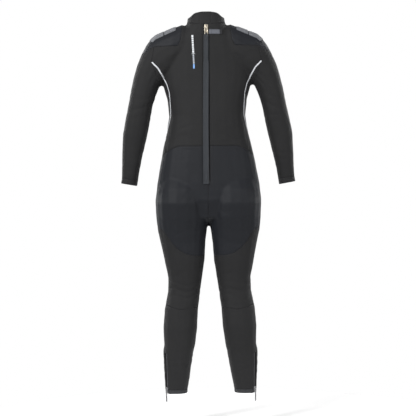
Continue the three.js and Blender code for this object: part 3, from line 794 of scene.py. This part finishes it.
def compact(triangles):
    used = sorted({k for corners in triangles for k in corners})
    index = {old: new for new, old in enumerate(used)}
    return used, [tuple(index[k] for k in corners) for corners in triangles]


def dropSpecks(triangles, least):
    # small loose scraps left by the cut are dropped
    parent = {}

    def root(k):
        while parent.setdefault(k, k) != k:
            parent[k] = parent[parent[k]]
            k = parent[k]
        return k

    for a, b, c in triangles:
        parent[root(b)] = root(a)
        parent[root(c)] = root(a)
    groups = {}
    for corners in triangles:
        groups.setdefault(root(corners[0]), []).append(corners)
    return [corners for group in groups.values() if len(group) >= least for corners in group]


def openEdges(faces):
    # directed edges with no face on their other side
    edges = {edge: True for face in faces for edge in zip(face, face[1:] + face[:1])}
    return [edge for edge in edges if edge[::-1] not in edges]


def thickSheet(name, triangles, places, slopes, inner, paint, outer=0.0):
    # a closed sheet: an outer face, an inner face and a rim, both offset along the same slopes
    used, local = compact(triangles)
    top = places[used] + slopes[used] * outer
    bottom = places[used] - slopes[used] * inner
    count = len(used)
    quads = [(start, start + count, end + count, end) for start, end in openEdges(local)]
    skin = local + [(c + count, b + count, a + count) for a, b, c in local] + quads
    return meshObject(name, np.vstack([top, bottom]), skin, paint), local, top


blueBlackPanels = {"shoulder_panel", "seat_panel", "front_hip_panel"}


def panelPaint(name):
    base = name.rsplit("_", 1)[0]
    if base in blueBlackPanels:
        return blueBlack, "neoprene_blue_black"
    if base == "ankle_hem":
        return hemTape, "tape_black"
    return charcoal, "neoprene_black"


def makePanels():
    for label, name in enumerate(panelNames):
        triangles = dropSpecks(cutter.pieces.get(label, []), 60)
        wall = seamValues["flapWall"] if name == "collar_flap" else seamValues["wall"]
        paint, slot = panelPaint(name)
        piece, local, top = thickSheet(f"{name}_cloth", triangles, shaped, allSlopes, wall, paint)
        smoothShading(piece, 50)
        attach(piece, "collar_flap" if name == "collar_flap" else "suit")
        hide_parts(name)


makePanels()
print("panels made")


# Lines along the seams, used by the piping and the stitching

surfaceTree = BVHTree.FromPolygons([tuple(p) for p in shaped[:len(points)]], faces.tolist())
openLabel = len(panelNames)


def chainsOf(segments):
    near = {}
    for start, end in segments:
        near.setdefault(start, []).append(end)
        near.setdefault(end, []).append(start)
    left = set(near)
    chains = []
    for first in sorted(near, key=lambda k: (len(near[k]) != 1, k)):
        if first not in left:
            continue
        line = [first]
        left.discard(first)
        while True:
            onward = [k for k in near[line[-1]] if k in left]
            if not onward:
                break
            line.append(onward[0])
            left.discard(onward[0])
        if line[0] in near[line[-1]] and len(line) > 8:
            line.append(line[0])
        if len(line) > 5:
            chains.append(line)
    return chains


def evenLine(line, step, rounds=4):
    # smoothed and evenly spaced points of a chain
    spots = allPlaces[line].copy()
    closed = line[0] == line[-1]
    for _ in range(rounds):
        spots[1:-1] = (spots[:-2] + spots[2:]) * 0.25 + spots[1:-1] * 0.5
        if closed:
            spots[0] = spots[-1] = (spots[1] + spots[-2]) / 2
    gaps = np.linalg.norm(np.diff(spots, axis=0), axis=1)
    along = np.concatenate([[0], np.cumsum(gaps)])
    count = max(int(along[-1] / step), 2)
    marks = np.linspace(0, along[-1], count + 1)
    return np.column_stack([np.interp(marks, along, spots[:, k]) for k in range(3)])


def onSurface(spots):
    places, slopes = zip(*(surfaceTree.find_nearest(Vector(spot))[:2] for spot in spots))
    soft = np.array(slopes)
    for _ in range(3):
        soft[1:-1] = (soft[:-2] + soft[1:-1] + soft[2:]) / 3
    return np.array(places), unitRows(soft)


def tubeFaces(size, rings):
    # quads between neighbouring rings of points, and a cap at each end
    skin = []
    for start in range(0, (rings - 1) * size, size):
        for k in range(size):
            a, b = start + k, start + (k + 1) % size
            skin.append((a, b, b + size, a + size))
    last = (rings - 1) * size
    return skin + [tuple(range(size))[::-1], tuple(range(last, last + size))]


def sweptRibbon(places, slopes, profile):
    # profile: (sideways, raised) pairs round the section
    side = np.cross(slopes, unitRows(np.gradient(places, axis=0)))
    made = [
        places[index] + side[index] * across + slopes[index] * raised
        for index in range(len(places)) for across, raised in profile
    ]
    return made, tubeFaces(len(profile), len(places))


def threadProfile(thick, crown=1.0):
    return [(-thick, 0), (0, thick * crown), (thick, 0), (0, -thick)]


def outward(piece):
    onlyActive(piece)
    bpy.ops.object.mode_set(mode="EDIT")
    bpy.ops.mesh.select_all(action="SELECT")
    bpy.ops.mesh.normals_make_consistent(inside=False)
    bpy.ops.object.mode_set(mode="OBJECT")


def joinMeshes(name, parts, paint):
    made, skin = [], []
    for places, quads in parts:
        start = len(made)
        made.extend(places)
        skin.extend(tuple(k + start for k in quad) for quad in quads)
    return meshObject(name, made, skin, paint)


def finishPiece(piece, body="suit", angle=50, node=None):
    outward(piece)
    smoothShading(piece, angle)
    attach(piece, body)
    if node:
        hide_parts(node)


def seamSegments(first, second):
    a, b = panelNames.index(first), panelNames.index(second)
    return cutter.seams.get((min(a, b), max(a, b)), [])


pipingValues = {"half": 0.0025, "raised": 0.0013, "low": -0.424, "step": 0.0035}


def makePiping():
    half, raised = pipingValues["half"], pipingValues["raised"]
    profile = [(-half, -0.0006), (-half, raised * 0.55), (-half * 0.55, raised)]
    profile += [(-across, up) for across, up in reversed(profile)]
    for side in sides:
        lines = chainsOf(seamSegments(f"back_panel_{side}", f"side_panel_{side}"))
        spots = evenLine(max(lines, key=len), pipingValues["step"])
        spots = spots[spots[:, 2] > pipingValues["low"]]
        ribbon = sweptRibbon(*onSurface(spots), profile)
        piece = meshObject(f"piping_tape_{side}", *ribbon, pipingTape)
        finishPiece(piece, node=f"piping_{side}")


makePiping()

threadValues = {
    "pitch": 0.0034, "reach": 0.0021, "thick": 0.00034, "crown": 1.3, "raised": 0.0002,
    "hemRows": (0.0028, 0.0085), "hemReach": 0.0005, "beforeFold": 4,
}


def sidewaysOf(spots):
    # the places on the surface, their slopes and the direction to the side
    places, slopes = onSurface(spots)
    side = np.cross(slopes, np.gradient(places, axis=0))
    return places, slopes, side / np.maximum(np.linalg.norm(side, axis=1, keepdims=True), 1e-9)


def stitchLine(spots, reach):
    # one thread that crosses from side to side along a line, as a four-sided tube
    places, slopes, side = sidewaysOf(spots)
    swing = np.where(np.arange(len(places)) % 2 == 0, reach, -reach)[:, None]
    lifted = places + side * swing + slopes * threadValues["raised"]
    return sweptRibbon(lifted, slopes, threadProfile(threadValues["thick"], threadValues["crown"]))


def openRow(spots, row):
    # a stitched row beside an open edge, on the cloth side of it
    places, _, side = sidewaysOf(spots)
    options = [places + side * step for step in (row, -row)]
    return min(options, key=lambda option: -openDistance(option).mean())


def makeStitching(values):
    flap = panelNames.index("collar_flap")
    suitThreads, flapThreads = [], []
    for (a, b), segments in sorted(cutter.seams.items()):
        for line in chainsOf(segments):
            spots = evenLine(line, values["pitch"])
            if len(line) < 12 or len(spots) < 6:
                continue
            if b == openLabel:
                rows = [openRow(spots, row) for row in values["hemRows"]]
                if a == flap:
                    # the rows stop short of the fold
                    rows = [row[values["beforeFold"]:-values["beforeFold"]] for row in rows]
                stitched = [stitchLine(row, values["hemReach"]) for row in rows]
                (flapThreads if a == flap else suitThreads).extend(stitched)
            elif flap not in (a, b):
                suitThreads.append(stitchLine(spots, values["reach"]))
    piece = joinMeshes("seam_stitching", suitThreads, seamThread)
    finishPiece(piece)
    if flapThreads:
        piece = joinMeshes("flap_stitching", flapThreads, seamThread)
        finishPiece(piece, "collar_flap")


makeStitching(threadValues)
print("piping and stitching made")


# Grip pads: a thin raised skin with rows of domed grips, on the shoulders and knees

padValues = {
    "shoulder_pad": {"raised": 0.0021, "split": 0.1545, "gap": 0.0016, "grid": 0.0085},
    "knee_pad": {"raised": 0.0021, "split": None, "gap": 0, "grid": 0.0095},
}
gripShape = {"sides": 6, "radius": 0.0031, "top": 0.0019, "height": 0.0008, "fromRim": 0.0048}
rowShare = 0.87


def padField(name, values):
    # distance along the skin from the CAD pad, with the gap between its two parts kept out
    field = np.full(len(points), 0.02)
    tree, near = nearNode(name, points, 0.006)
    for index in near:
        place = Vector(points[index])
        hit = tree.find_nearest(place, 0.012)[0]
        if hit is not None:
            field[index] = skinAway(hit, place, Vector(normals[index]))[0]
    if values["split"]:
        fromSplit = np.abs(np.abs(points[:, 0]) - values["split"])
        field = np.maximum(field, 0.0008 + values["gap"] - fromSplit)
    return field


def addDome(made, skin, hit, slope):
    side = slope.orthogonal().normalized()
    other = slope.cross(side)
    base, count = len(made), gripShape["sides"]
    for radius, raised in ((gripShape["radius"], -0.0002), (gripShape["top"], gripShape["height"])):
        for k in range(count):
            turn = 2 * math.pi * k / count
            spoke = side * math.cos(turn) + other * math.sin(turn)
            made.append(hit + spoke * radius + slope * raised)
    skin.extend(tuple(base + k for k in face) for face in tubeFaces(count, 2))


def gripDomes(top, local, values):
    # domes on a triangular grid over the pad, kept off its rim
    tree = BVHTree.FromPolygons([tuple(p) for p in top], local)
    rim = top[sorted({k for edge in openEdges(local) for k in edge})]
    low, high = top.min(0), top.max(0)
    # the shoulder pads are met from above and the knee pads from the front
    seen, deep = (2, 1) if values["split"] else (1, 2)
    ray = Vector([-float(axis == seen) for axis in range(3)])
    step = values["grid"]
    made, skin = [], []
    for row in range(1, int((high[deep] - low[deep]) / (step * rowShare)) + 1):
        for column in range(int((high[0] - low[0]) / step) + 1):
            start = Vector((low[0] + row % 2 * step / 2 + column * step, 0, 0))
            start[deep] = low[deep] + row * step * rowShare
            start[seen] = high[seen] + 0.05
            hit, slope = tree.ray_cast(start, ray)[:2]
            if hit is None:
                continue
            if np.linalg.norm(rim - np.array(hit), axis=1).min() >= gripShape["fromRim"]:
                addDome(made, skin, hit, -slope if slope.dot(ray) > 0 else slope)
    return made, skin


def makePads():
    for kind, values in padValues.items():
        for side in sides:
            field = padField(f"{kind}_{side}", values)
            both = np.column_stack([field, np.full(len(points), 0.0008)])
            close = (field < 0.02)[faces].all(1)
            padCut = Cutter(points, normals, faces[close], both, both.argmin(1))
            triangles = dropSpecks(padCut.pieces[0], 40)
            places, slopes = padCut.arrays()
            name, raised = f"{kind}_skin_{side}", values["raised"]
            piece, local, top = thickSheet(name, triangles, places, slopes, 0.0006, gripPrint, raised)
            grips = meshObject(f"{kind}_grips_{side}", *gripDomes(top, local, values), gripPrint)
            finishPiece(piece, node=f"{kind}_{side}")
            finishPiece(grips)


makePads()
print("pads made")


# Zips. Each is drawn in its own directions: x across, y out of the suit, z up along the teeth

def zipMatrix(axes, middle=None):
    origin = axes["middle"] if middle is None else middle
    turn = Matrix([axes["across"], axes["out"], axes["up"]]).transposed().to_4x4()
    return Matrix.Translation(Vector(origin)) @ turn


def localPoints(name, matrix):
    inverse = np.array(matrix.inverted())
    return nodePoints(name) @ inverse[:3, :3].T + inverse[:3, 3]


def localBox(name, matrix):
    spots = localPoints(name, matrix)
    return spots.min(0), spots.max(0)


def jointPlace(name):
    return named(frame["record"]["behaviour"]["joints"], name)["pos_m"]


def roundEdges(piece, width, segments=2, degrees=30):
    limit = math.radians(degrees)
    applyModifier(
        piece, "BEVEL", width=width, segments=segments, limit_method="ANGLE", angle_limit=limit,
    )


def blockShape(low, high, bevel=0.0, segments=2):
    bpy.ops.mesh.primitive_cube_add(size=1, location=(0, 0, 0))
    made = bpy.context.object
    bpy.ops.object.mode_set(mode="EDIT")
    bpy.ops.mesh.select_all(action="SELECT")
    bpy.ops.transform.resize(value=tuple(b - a for a, b in zip(low, high)))
    bpy.ops.transform.translate(value=tuple((a + b) / 2 for a, b in zip(low, high)))
    bpy.ops.object.mode_set(mode="OBJECT")
    if bevel:
        roundEdges(made, bevel, segments)
    return made


def rodShape(radius, start, end, sides=20, bevel=0.0):
    start, end = Vector(start), Vector(end)
    way = end - start
    bpy.ops.mesh.primitive_cylinder_add(
        vertices=sides, radius=radius, depth=way.length, location=(0, 0, 0),
    )
    made = bpy.context.object
    turn = way.to_track_quat("Z", "Y").to_matrix().to_4x4()
    made.data.transform(Matrix.Translation((start + end) / 2) @ turn)
    if bevel:
        roundEdges(made, bevel)
    return made


def combine(piece, tool, operation):
    applyModifier(piece, "BOOLEAN", operation=operation, object=tool, solver="EXACT")
    bpy.data.objects.remove(tool)


def cutAway(piece, tool):
    combine(piece, tool, "DIFFERENCE")


def fuse(piece, tool):
    combine(piece, tool, "UNION")


def placePiece(piece, name, matrix, paint, body, node=None, angle=35):
    # a piece drawn in a zip's directions goes to its place on the suit
    piece.name = name
    piece.data.transform(matrix)
    piece.data.materials.clear()
    piece.data.materials.append(paint)
    smoothShading(piece, angle)
    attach(piece, body)
    if node:
        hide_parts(node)


toothValues = {
    "back": {"pitch": 0.0030, "head": 0.0011, "long": 0.0030},
    "ankle": {"pitch": 0.0024, "head": 0.0009, "long": 0.0022},
}


def toothRow(low, high, values):
    # two rows of moulded teeth that mesh: each a tapered block with a round nose over the middle
    made, skin = [], []
    count = int((high[2] - low[2]) / values["pitch"])
    foot, top = low[1] + 0.0006, high[1]
    for index in range(count):
        for hand in (1, -1):
            z = high[2] - (index + (0.25 if hand > 0 else 0.75)) * values["pitch"]
            wide, slim = values["pitch"] * 0.46, values["pitch"] * 0.30
            root, neck, nose = hand * high[0], hand * high[0] * 0.35, -hand * values["head"] * 0.9
            base = len(made)
            for x, half, rise in ((root, wide, 0.75), (neck, slim, 1.0), (nose, slim * 1.35, 0.86)):
                crest = foot + (top - foot) * rise
                made += [(x, foot, z - half), (x, foot, z + half)]
                made += [(x, crest, z + half), (x, crest, z - half)]
            skin += [tuple(base + k for k in face) for face in tubeFaces(4, 3)]
    return made, skin


def makeTeeth(name, node, axes, kind):
    matrix = zipMatrix(axes)
    low, high = localBox(node, matrix)
    made, skin = toothRow(low, high, toothValues[kind])
    # a flat core that carries both rows
    start = len(made)
    back = low[1] + 0.0008
    for z in (low[2], high[2]):
        made += [(low[0], low[1], z), (high[0], low[1], z), (high[0], back, z), (low[0], back, z)]
    skin += [tuple(k + start for k in face) for face in tubeFaces(4, 2)]
    piece = meshObject(name, made, skin, zipPlastic)
    outward(piece)
    placePiece(piece, name, matrix, zipPlastic, "suit", node, 25)


tapeThickness = 0.0009


def makeTape(name, node, axes, curve):
    # one side of a zip's tape, bent round the body by its curve
    matrix = zipMatrix(axes)
    low, high = localBox(node, matrix)
    inner, outer = sorted((low[0], high[0]), key=abs)
    rows = max(int((high[2] - low[2]) / 0.012), 6)
    across = np.linspace(inner, outer, 7)
    heights = high[1] - across ** 2 / (2 * curve)
    made = []
    for z in np.linspace(low[2], high[2], rows + 1):
        made += [(x, y, z) for x, y in zip(across, heights)]
        made += [(x, y - tapeThickness, z) for x, y in zip(across[::-1], heights[::-1])]
    piece = meshObject(name, made, tubeFaces(2 * len(across), rows + 1), zipTape)
    outward(piece)
    placePiece(piece, name, matrix, zipTape, "suit", node)


sliderValues = {
    "bevel": 0.0009, "wing": 0.0026, "plate": 0.0026, "neck": 0.74, "bridge": 0.0052,
    "eye": 0.00165, "eyeDrop": 0.0031, "stud": 0.0011, "studPlace": 0.0078,
}


def makeSlider(name, node, axes, paint):
    # a plate with a slim neck, two wings round the teeth, a bridge with an eye and a stud
    values = sliderValues
    along = (nodePoints(node) - axes["middle"]) @ axes["up"]
    centre = axes["middle"] + axes["up"] * (along.min() + along.max()) / 2
    matrix = zipMatrix(axes, centre)
    low, high = localBox(node, matrix)
    half, face = high[0], high[1] - values["bridge"]
    piece = blockShape(
        (-half, face - values["plate"], low[2]), (half, face, high[2]), values["bevel"], 3,
    )
    for vertex in piece.data.vertices:
        if vertex.co.z < -0.002:
            vertex.co.x *= values["neck"]
    for hand in (1, -1):
        left, right = sorted((hand * (half - values["wing"]), hand * half))
        ends = low[2] + 0.0012, high[2] - 0.0004
        fuse(piece, blockShape((left, low[1], ends[0]), (right, face - 0.0012, ends[1]), 0.0006))
    arch = blockShape((-0.002, face - 0.0006, -0.006), (0.002, high[1], 0.006), 0.0019, 4)
    eye = high[1] - values["eyeDrop"]
    cutAway(arch, rodShape(values["eye"], (-0.004, eye, 0), (0.004, eye, 0)))
    fuse(piece, arch)
    foot, head = ((0, face + rise, values["studPlace"]) for rise in (-0.0004, 0.0005))
    fuse(piece, rodShape(values["stud"], foot, head, 14, 0.0002))
    placePiece(piece, name, matrix, paint, node, node)


pullValues = {
    "back": {"corner": 0.0019, "thick": 0.0018, "slot": True, "grooves": 0},
    "ankle": {"corner": 0.0014, "thick": 0.0018, "slot": False, "grooves": 4},
}


def makePuller(name, node, axes, paint, kind):
    values = pullValues[kind]
    matrix = zipMatrix(axes, jointPlace(f"{node}_hinge"))
    low, high = localBox(node, matrix)
    half, foot, bar = high[0], low[2], high[2]
    thick = values["thick"] / 2
    piece = blockShape((-half, -0.02, foot), (half, 0.02, bar), values["corner"], 4)
    combine(piece, blockShape((-0.1, -thick, -0.1), (0.1, thick, 0.1)), "INTERSECT")
    cutAway(piece, blockShape((-0.0026, -0.01, -0.0076), (0.0026, 0.01, bar - 0.0022), 0.0006))
    if values["slot"]:
        slot = (0.002 - half, -0.01, foot + 0.0028), (half - 0.002, 0.01, foot + 0.0062)
        cutAway(piece, blockShape(*slot, 0.0008))
    for side in (1, -1):
        # a shallow panel sunk into each face, and grooves to grip
        low, high = sorted((side * (thick - 0.00035), side * 0.01))
        panel = (-half * 0.55, low, foot * 0.70), (half * 0.55, high, foot * 0.38)
        cutAway(piece, blockShape(*panel, 0.0005))
        low, high = sorted((side * (thick - 0.0003), side * 0.01))
        for row in range(values["grooves"]):
            z = foot + 0.0035 + row * 0.0024
            cutAway(piece, blockShape((-half * 0.7, low, z), (half * 0.7, high, z + 0.0010)))
    roundEdges(piece, 0.0003, degrees=40)
    placePiece(piece, name, matrix, paint, node, node)


def makeZips():
    makeTeeth("back_zip_teeth", "zip_teeth", backZip, "back")
    for side in sides:
        makeTape(f"back_tape_{side}", f"zip_tape_{side}", backZip, 3.0)
        axes = ankleZips[side]
        makeTape(f"ankle_tape_{side}", f"ankle_zip_tape_{side}", axes, 0.045)
        makeTeeth(f"ankle_teeth_{side}", f"ankle_zip_teeth_{side}", axes, "ankle")
        makeSlider(f"ankle_slide_{side}", f"ankle_slider_{side}", axes, ankleMetal)
        makePuller(f"ankle_pull_{side}", f"ankle_puller_{side}", axes, ankleMetal, "ankle")
    makeSlider("back_slide", "back_slider", backZip, pullMetal)
    makePuller("back_pull", "back_puller", backZip, pullMetal, "back")
    matrix = zipMatrix(backZip)
    low, high = localBox("zip_end_stop", matrix)
    stop = blockShape(low, high, 0.0009, 3)
    dent = (-0.0012, high[1] - 0.0007, low[2] + 0.0015), (0.0012, 0.02, high[2] - 0.0015)
    cutAway(stop, blockShape(*dent, 0.0003))
    placePiece(stop, "zip_bottom_stop", matrix, zipPlastic, "suit", "zip_end_stop")


makeZips()
print("zips made")


# Leash: flat woven webbing from the puller, doubled and stitched at its upper end

leashValues = {
    "stations": 110, "doubled": 0.098, "slim": 0.0088, "full": 0.0098, "thick": 0.0014,
    "wave": 0.0005, "width": 0.0196, "stitched": 0.72,
}


def makeLeash(values):
    matrix = zipMatrix(backZip)
    local = localPoints("leash", matrix)
    top, foot = local[:, 2].max() - 0.0002, local[:, 2].min() + 0.0002
    levels = np.unique(np.round(local[:, 2], 5))
    rings = [local[np.abs(local[:, 2] - z) < 2e-5][:, 0] for z in levels]
    middles = [(ring.min() + ring.max()) / 2 for ring in rings]
    depth = (local[:, 1].min() + local[:, 1].max()) / 2
    made, line = [], []
    count = values["stations"]
    for z in np.linspace(top, foot, count + 1):
        gone = top - z
        x = float(np.interp(z, levels, middles))
        y = depth + values["wave"] * math.sin(gone * 31 + 0.6) * min(gone / 0.05, 1)
        twist = 0.05 * math.sin(gone * 17)
        doubled = gone < values["doubled"]
        half = values["slim"] if doubled else values["full"]
        half *= 1 + 0.012 * math.sin(gone * 53)
        thick = values["thick"] / 2 * (1.12 if doubled else 0.9)
        lip = thick + 0.00022
        edge = [(half, -thick), (half, thick), (half - 0.0009, lip), (half - 0.0022, thick * 0.85)]
        profile = [(-across, raised) for across, raised in edge] + [(0, thick * 0.95)] + edge[::-1]
        for across, raised in profile:
            made.append((x + across, y + raised + across * twist, z))
        line.append(matrix @ Vector((x, y, z)))
    piece = meshObject("leash_webbing", made, tubeFaces(len(profile), count + 1), leashWebbing)
    outward(piece)
    placePiece(piece, "leash_webbing", matrix, leashWebbing, "leash", "leash")
    return line


def makeLeashStitches(line, values):
    # rows of thread across the doubled end, and a box at the free end
    threads = []
    out = Vector(backZip["out"]) * (values["thick"] * 0.62 + 0.0002)
    across = Vector(backZip["across"])

    def row(start, end):
        steps = max(int((end - start).length / 0.0024), 2)
        spots = np.array([start.lerp(end, k / steps) for k in range(steps + 1)])
        slopes = np.tile(backZip["out"], (len(spots), 1))
        threads.append(sweptRibbon(spots, slopes, threadProfile(0.00035)))

    for half, marks in (("slim", (2, 4, 17, 19)), ("full", (-10, -3))):
        reach = across * values[half] * values["stitched"]
        for mark in marks:
            row(line[mark] + out - reach, line[mark] + out + reach)
        for edge in (reach, -reach):
            row(line[marks[0]] + out + edge, line[marks[-1]] + out + edge)
    piece = joinMeshes("leash_thread", threads, seamThread)
    finishPiece(piece, "leash", 60)


def makeLeashLoop():
    # the webbing's narrow loop through the puller's slot
    matrix = zipMatrix(backZip, jointPlace("back_puller_hinge"))
    low, high = localBox("back_puller", matrix)
    middle = low[2] + 0.0014
    half = high[0] - 0.0026
    made, steps = [], 20
    section = ((-half, 0.0018), (half, 0.0018), (half, 0.0027), (-half, 0.0027))
    for index in range(steps):
        turn = 2 * math.pi * index / steps
        for x, radius in section:
            y, z = radius * 0.85 * math.cos(turn), radius * 1.05 * math.sin(turn)
            made.append((x, y, middle + z))
    # the last ring is the first one again, and a loop has no caps
    skin = [tuple(k % len(made) for k in face) for face in tubeFaces(4, steps + 1)[:-2]]
    piece = meshObject("leash_loop", made, skin, leashWebbing)
    outward(piece)
    placePiece(piece, "leash_loop", matrix, leashWebbing, "back_puller")


leashLine = makeLeash(leashValues)
makeLeashStitches(leashLine, leashValues)
makeLeashLoop()
print("leash made")


# Flat pieces laid on the back: print, lock tab and its anchor

def backPoint(x, z):
    hit, slope = surfaceTree.ray_cast(Vector((x, -0.5, z)), Vector((0, 1, 0)))[:2]
    return hit, -slope if slope.y > 0 else slope


def backPatch(box, steps, low, high, corner=0.0):
    # box: left and right x, bottom and top z. Raised from low to high, its ends rounded by corner
    left, right, bottom, top = box
    rows, columns = steps
    used, made, skin = [], [], []
    for row in range(rows + 1):
        z = bottom + (top - bottom) * row / rows
        inside = min(z - bottom, top - z)
        pull = corner - math.sqrt(max(corner ** 2 - max(corner - inside, 0) ** 2, 0))
        for column in range(columns + 1):
            x = left + pull + (right - left - 2 * pull) * column / columns
            used.append(backPoint(x, z))
    slope = sum((normal for hit, normal in used), Vector()).normalized()
    for raised in (high, low):
        made += [hit + slope * raised for hit, normal in used]
    width, count = columns + 1, len(used)
    for row in range(rows):
        for column in range(columns):
            a = row * width + column
            skin.append((a, a + 1, a + width + 1, a + width))
    rim = openEdges(skin)
    skin += [tuple(k + count for k in quad[:1] + quad[:0:-1]) for quad in skin]
    skin += [(start, start + count, end + count, end) for start, end in rim]
    return made, skin


def plate(name, patch, paint, body, node):
    piece = meshObject(name, *patch, paint)
    outward(piece)
    roundEdges(piece, 0.0003, degrees=50)
    finishPiece(piece, body, 40, node)


printValues = {
    "top": -0.043, "lean": 0.04, "x": -0.0505, "half": 0.0034,
    "marks": [0.0085, 0.0055, 0.007, 0.0055, 0.0085, 0.0055, 0.007, 0.0085], "gap": 0.0013,
    "small": [0.0062, 0.0048, 0.0062, 0.0048, 0.0062], "blue": 0.0165,
}


def makePrint(values):
    # a generic upright pattern of plain blocks, with a bar between its two parts and a blue foot
    z = values["top"]
    parts = {"white": [], "grey": [], "blue": []}

    def block(kind, height, half):
        nonlocal z
        middle = values["x"] + (values["top"] - z) * values["lean"]
        box = (middle - half, middle + half, z - height, z)
        parts[kind].append(backPatch(box, (3, 3), -0.0001, 0.0003, 0.0004))
        z -= height + values["gap"]

    for height in values["marks"]:
        block("white", height, values["half"])
    z -= 0.001
    block("white", 0.0017, values["half"] * 1.9)
    z -= 0.001
    for height in values["small"]:
        block("grey", height, values["half"] * 0.85)
    block("blue", values["blue"], values["half"] * 0.85)
    for kind, paint in (("white", whitePrint), ("grey", greyPrint), ("blue", bluePrint)):
        piece = joinMeshes(f"print_{kind}", parts[kind], paint)
        finishPiece(piece, node="back_print" if kind == "white" else None)


tabValues = {"rim": 0.0017, "fold": 0.009, "thread": 0.0003, "raised": 0.0027}


def makeTabs(values):
    low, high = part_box("lock_tab")
    patch = backPatch((low[0], high[0], low[2], high[2]), (12, 20), 0.0005, 0.0026, 0.0022)
    plate("lock_tab_cloth", patch, hookLoop, "lock_tab", "lock_tab")
    rim = values["rim"]
    left, right, foot, top = low[0] + rim, high[0] - rim, low[2] + rim, high[2] - rim
    across, up = np.linspace(left, right, 17), np.linspace(foot, top, 9)
    rows = [[(x, z) for x in across] for z in (foot, top)]
    rows += [[(x, z) for z in up] for x in (left, left + values["fold"], right)]
    threads = []
    for row in rows:
        spots = [backPoint(x, z) for x, z in row]
        line = np.array([hit + normal * values["raised"] for hit, normal in spots])
        slopes = np.tile((0, -1, 0), (len(line), 1))
        threads.append(sweptRibbon(line, slopes, threadProfile(values["thread"])))
    finishPiece(joinMeshes("lock_tab_thread", threads, seamThread), "lock_tab")
    low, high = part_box("lock_tab_anchor")
    box = (low[0], high[0], low[2] - 0.0005, high[2] + 0.0005)
    patch = backPatch(box, (10, 5), 0.0004, 0.0029, 0.001)
    plate("tab_anchor_cloth", patch, zipTape, "suit", "lock_tab_anchor")


makePrint(printValues)
makeTabs(tabValues)


# Hidden inner layers keep their CAD shapes and get cloth

innerLayers = {
    "zip_baffle": charcoal, "ankle_gusset_left": charcoal, "ankle_gusset_right": charcoal,
    "collar_loop_patch": hookLoop,
}
for name, paint in innerLayers.items():
    node = frame["nodes"][name]
    node.data.materials.clear()
    node.data.materials.append(paint)
print("flat pieces made")
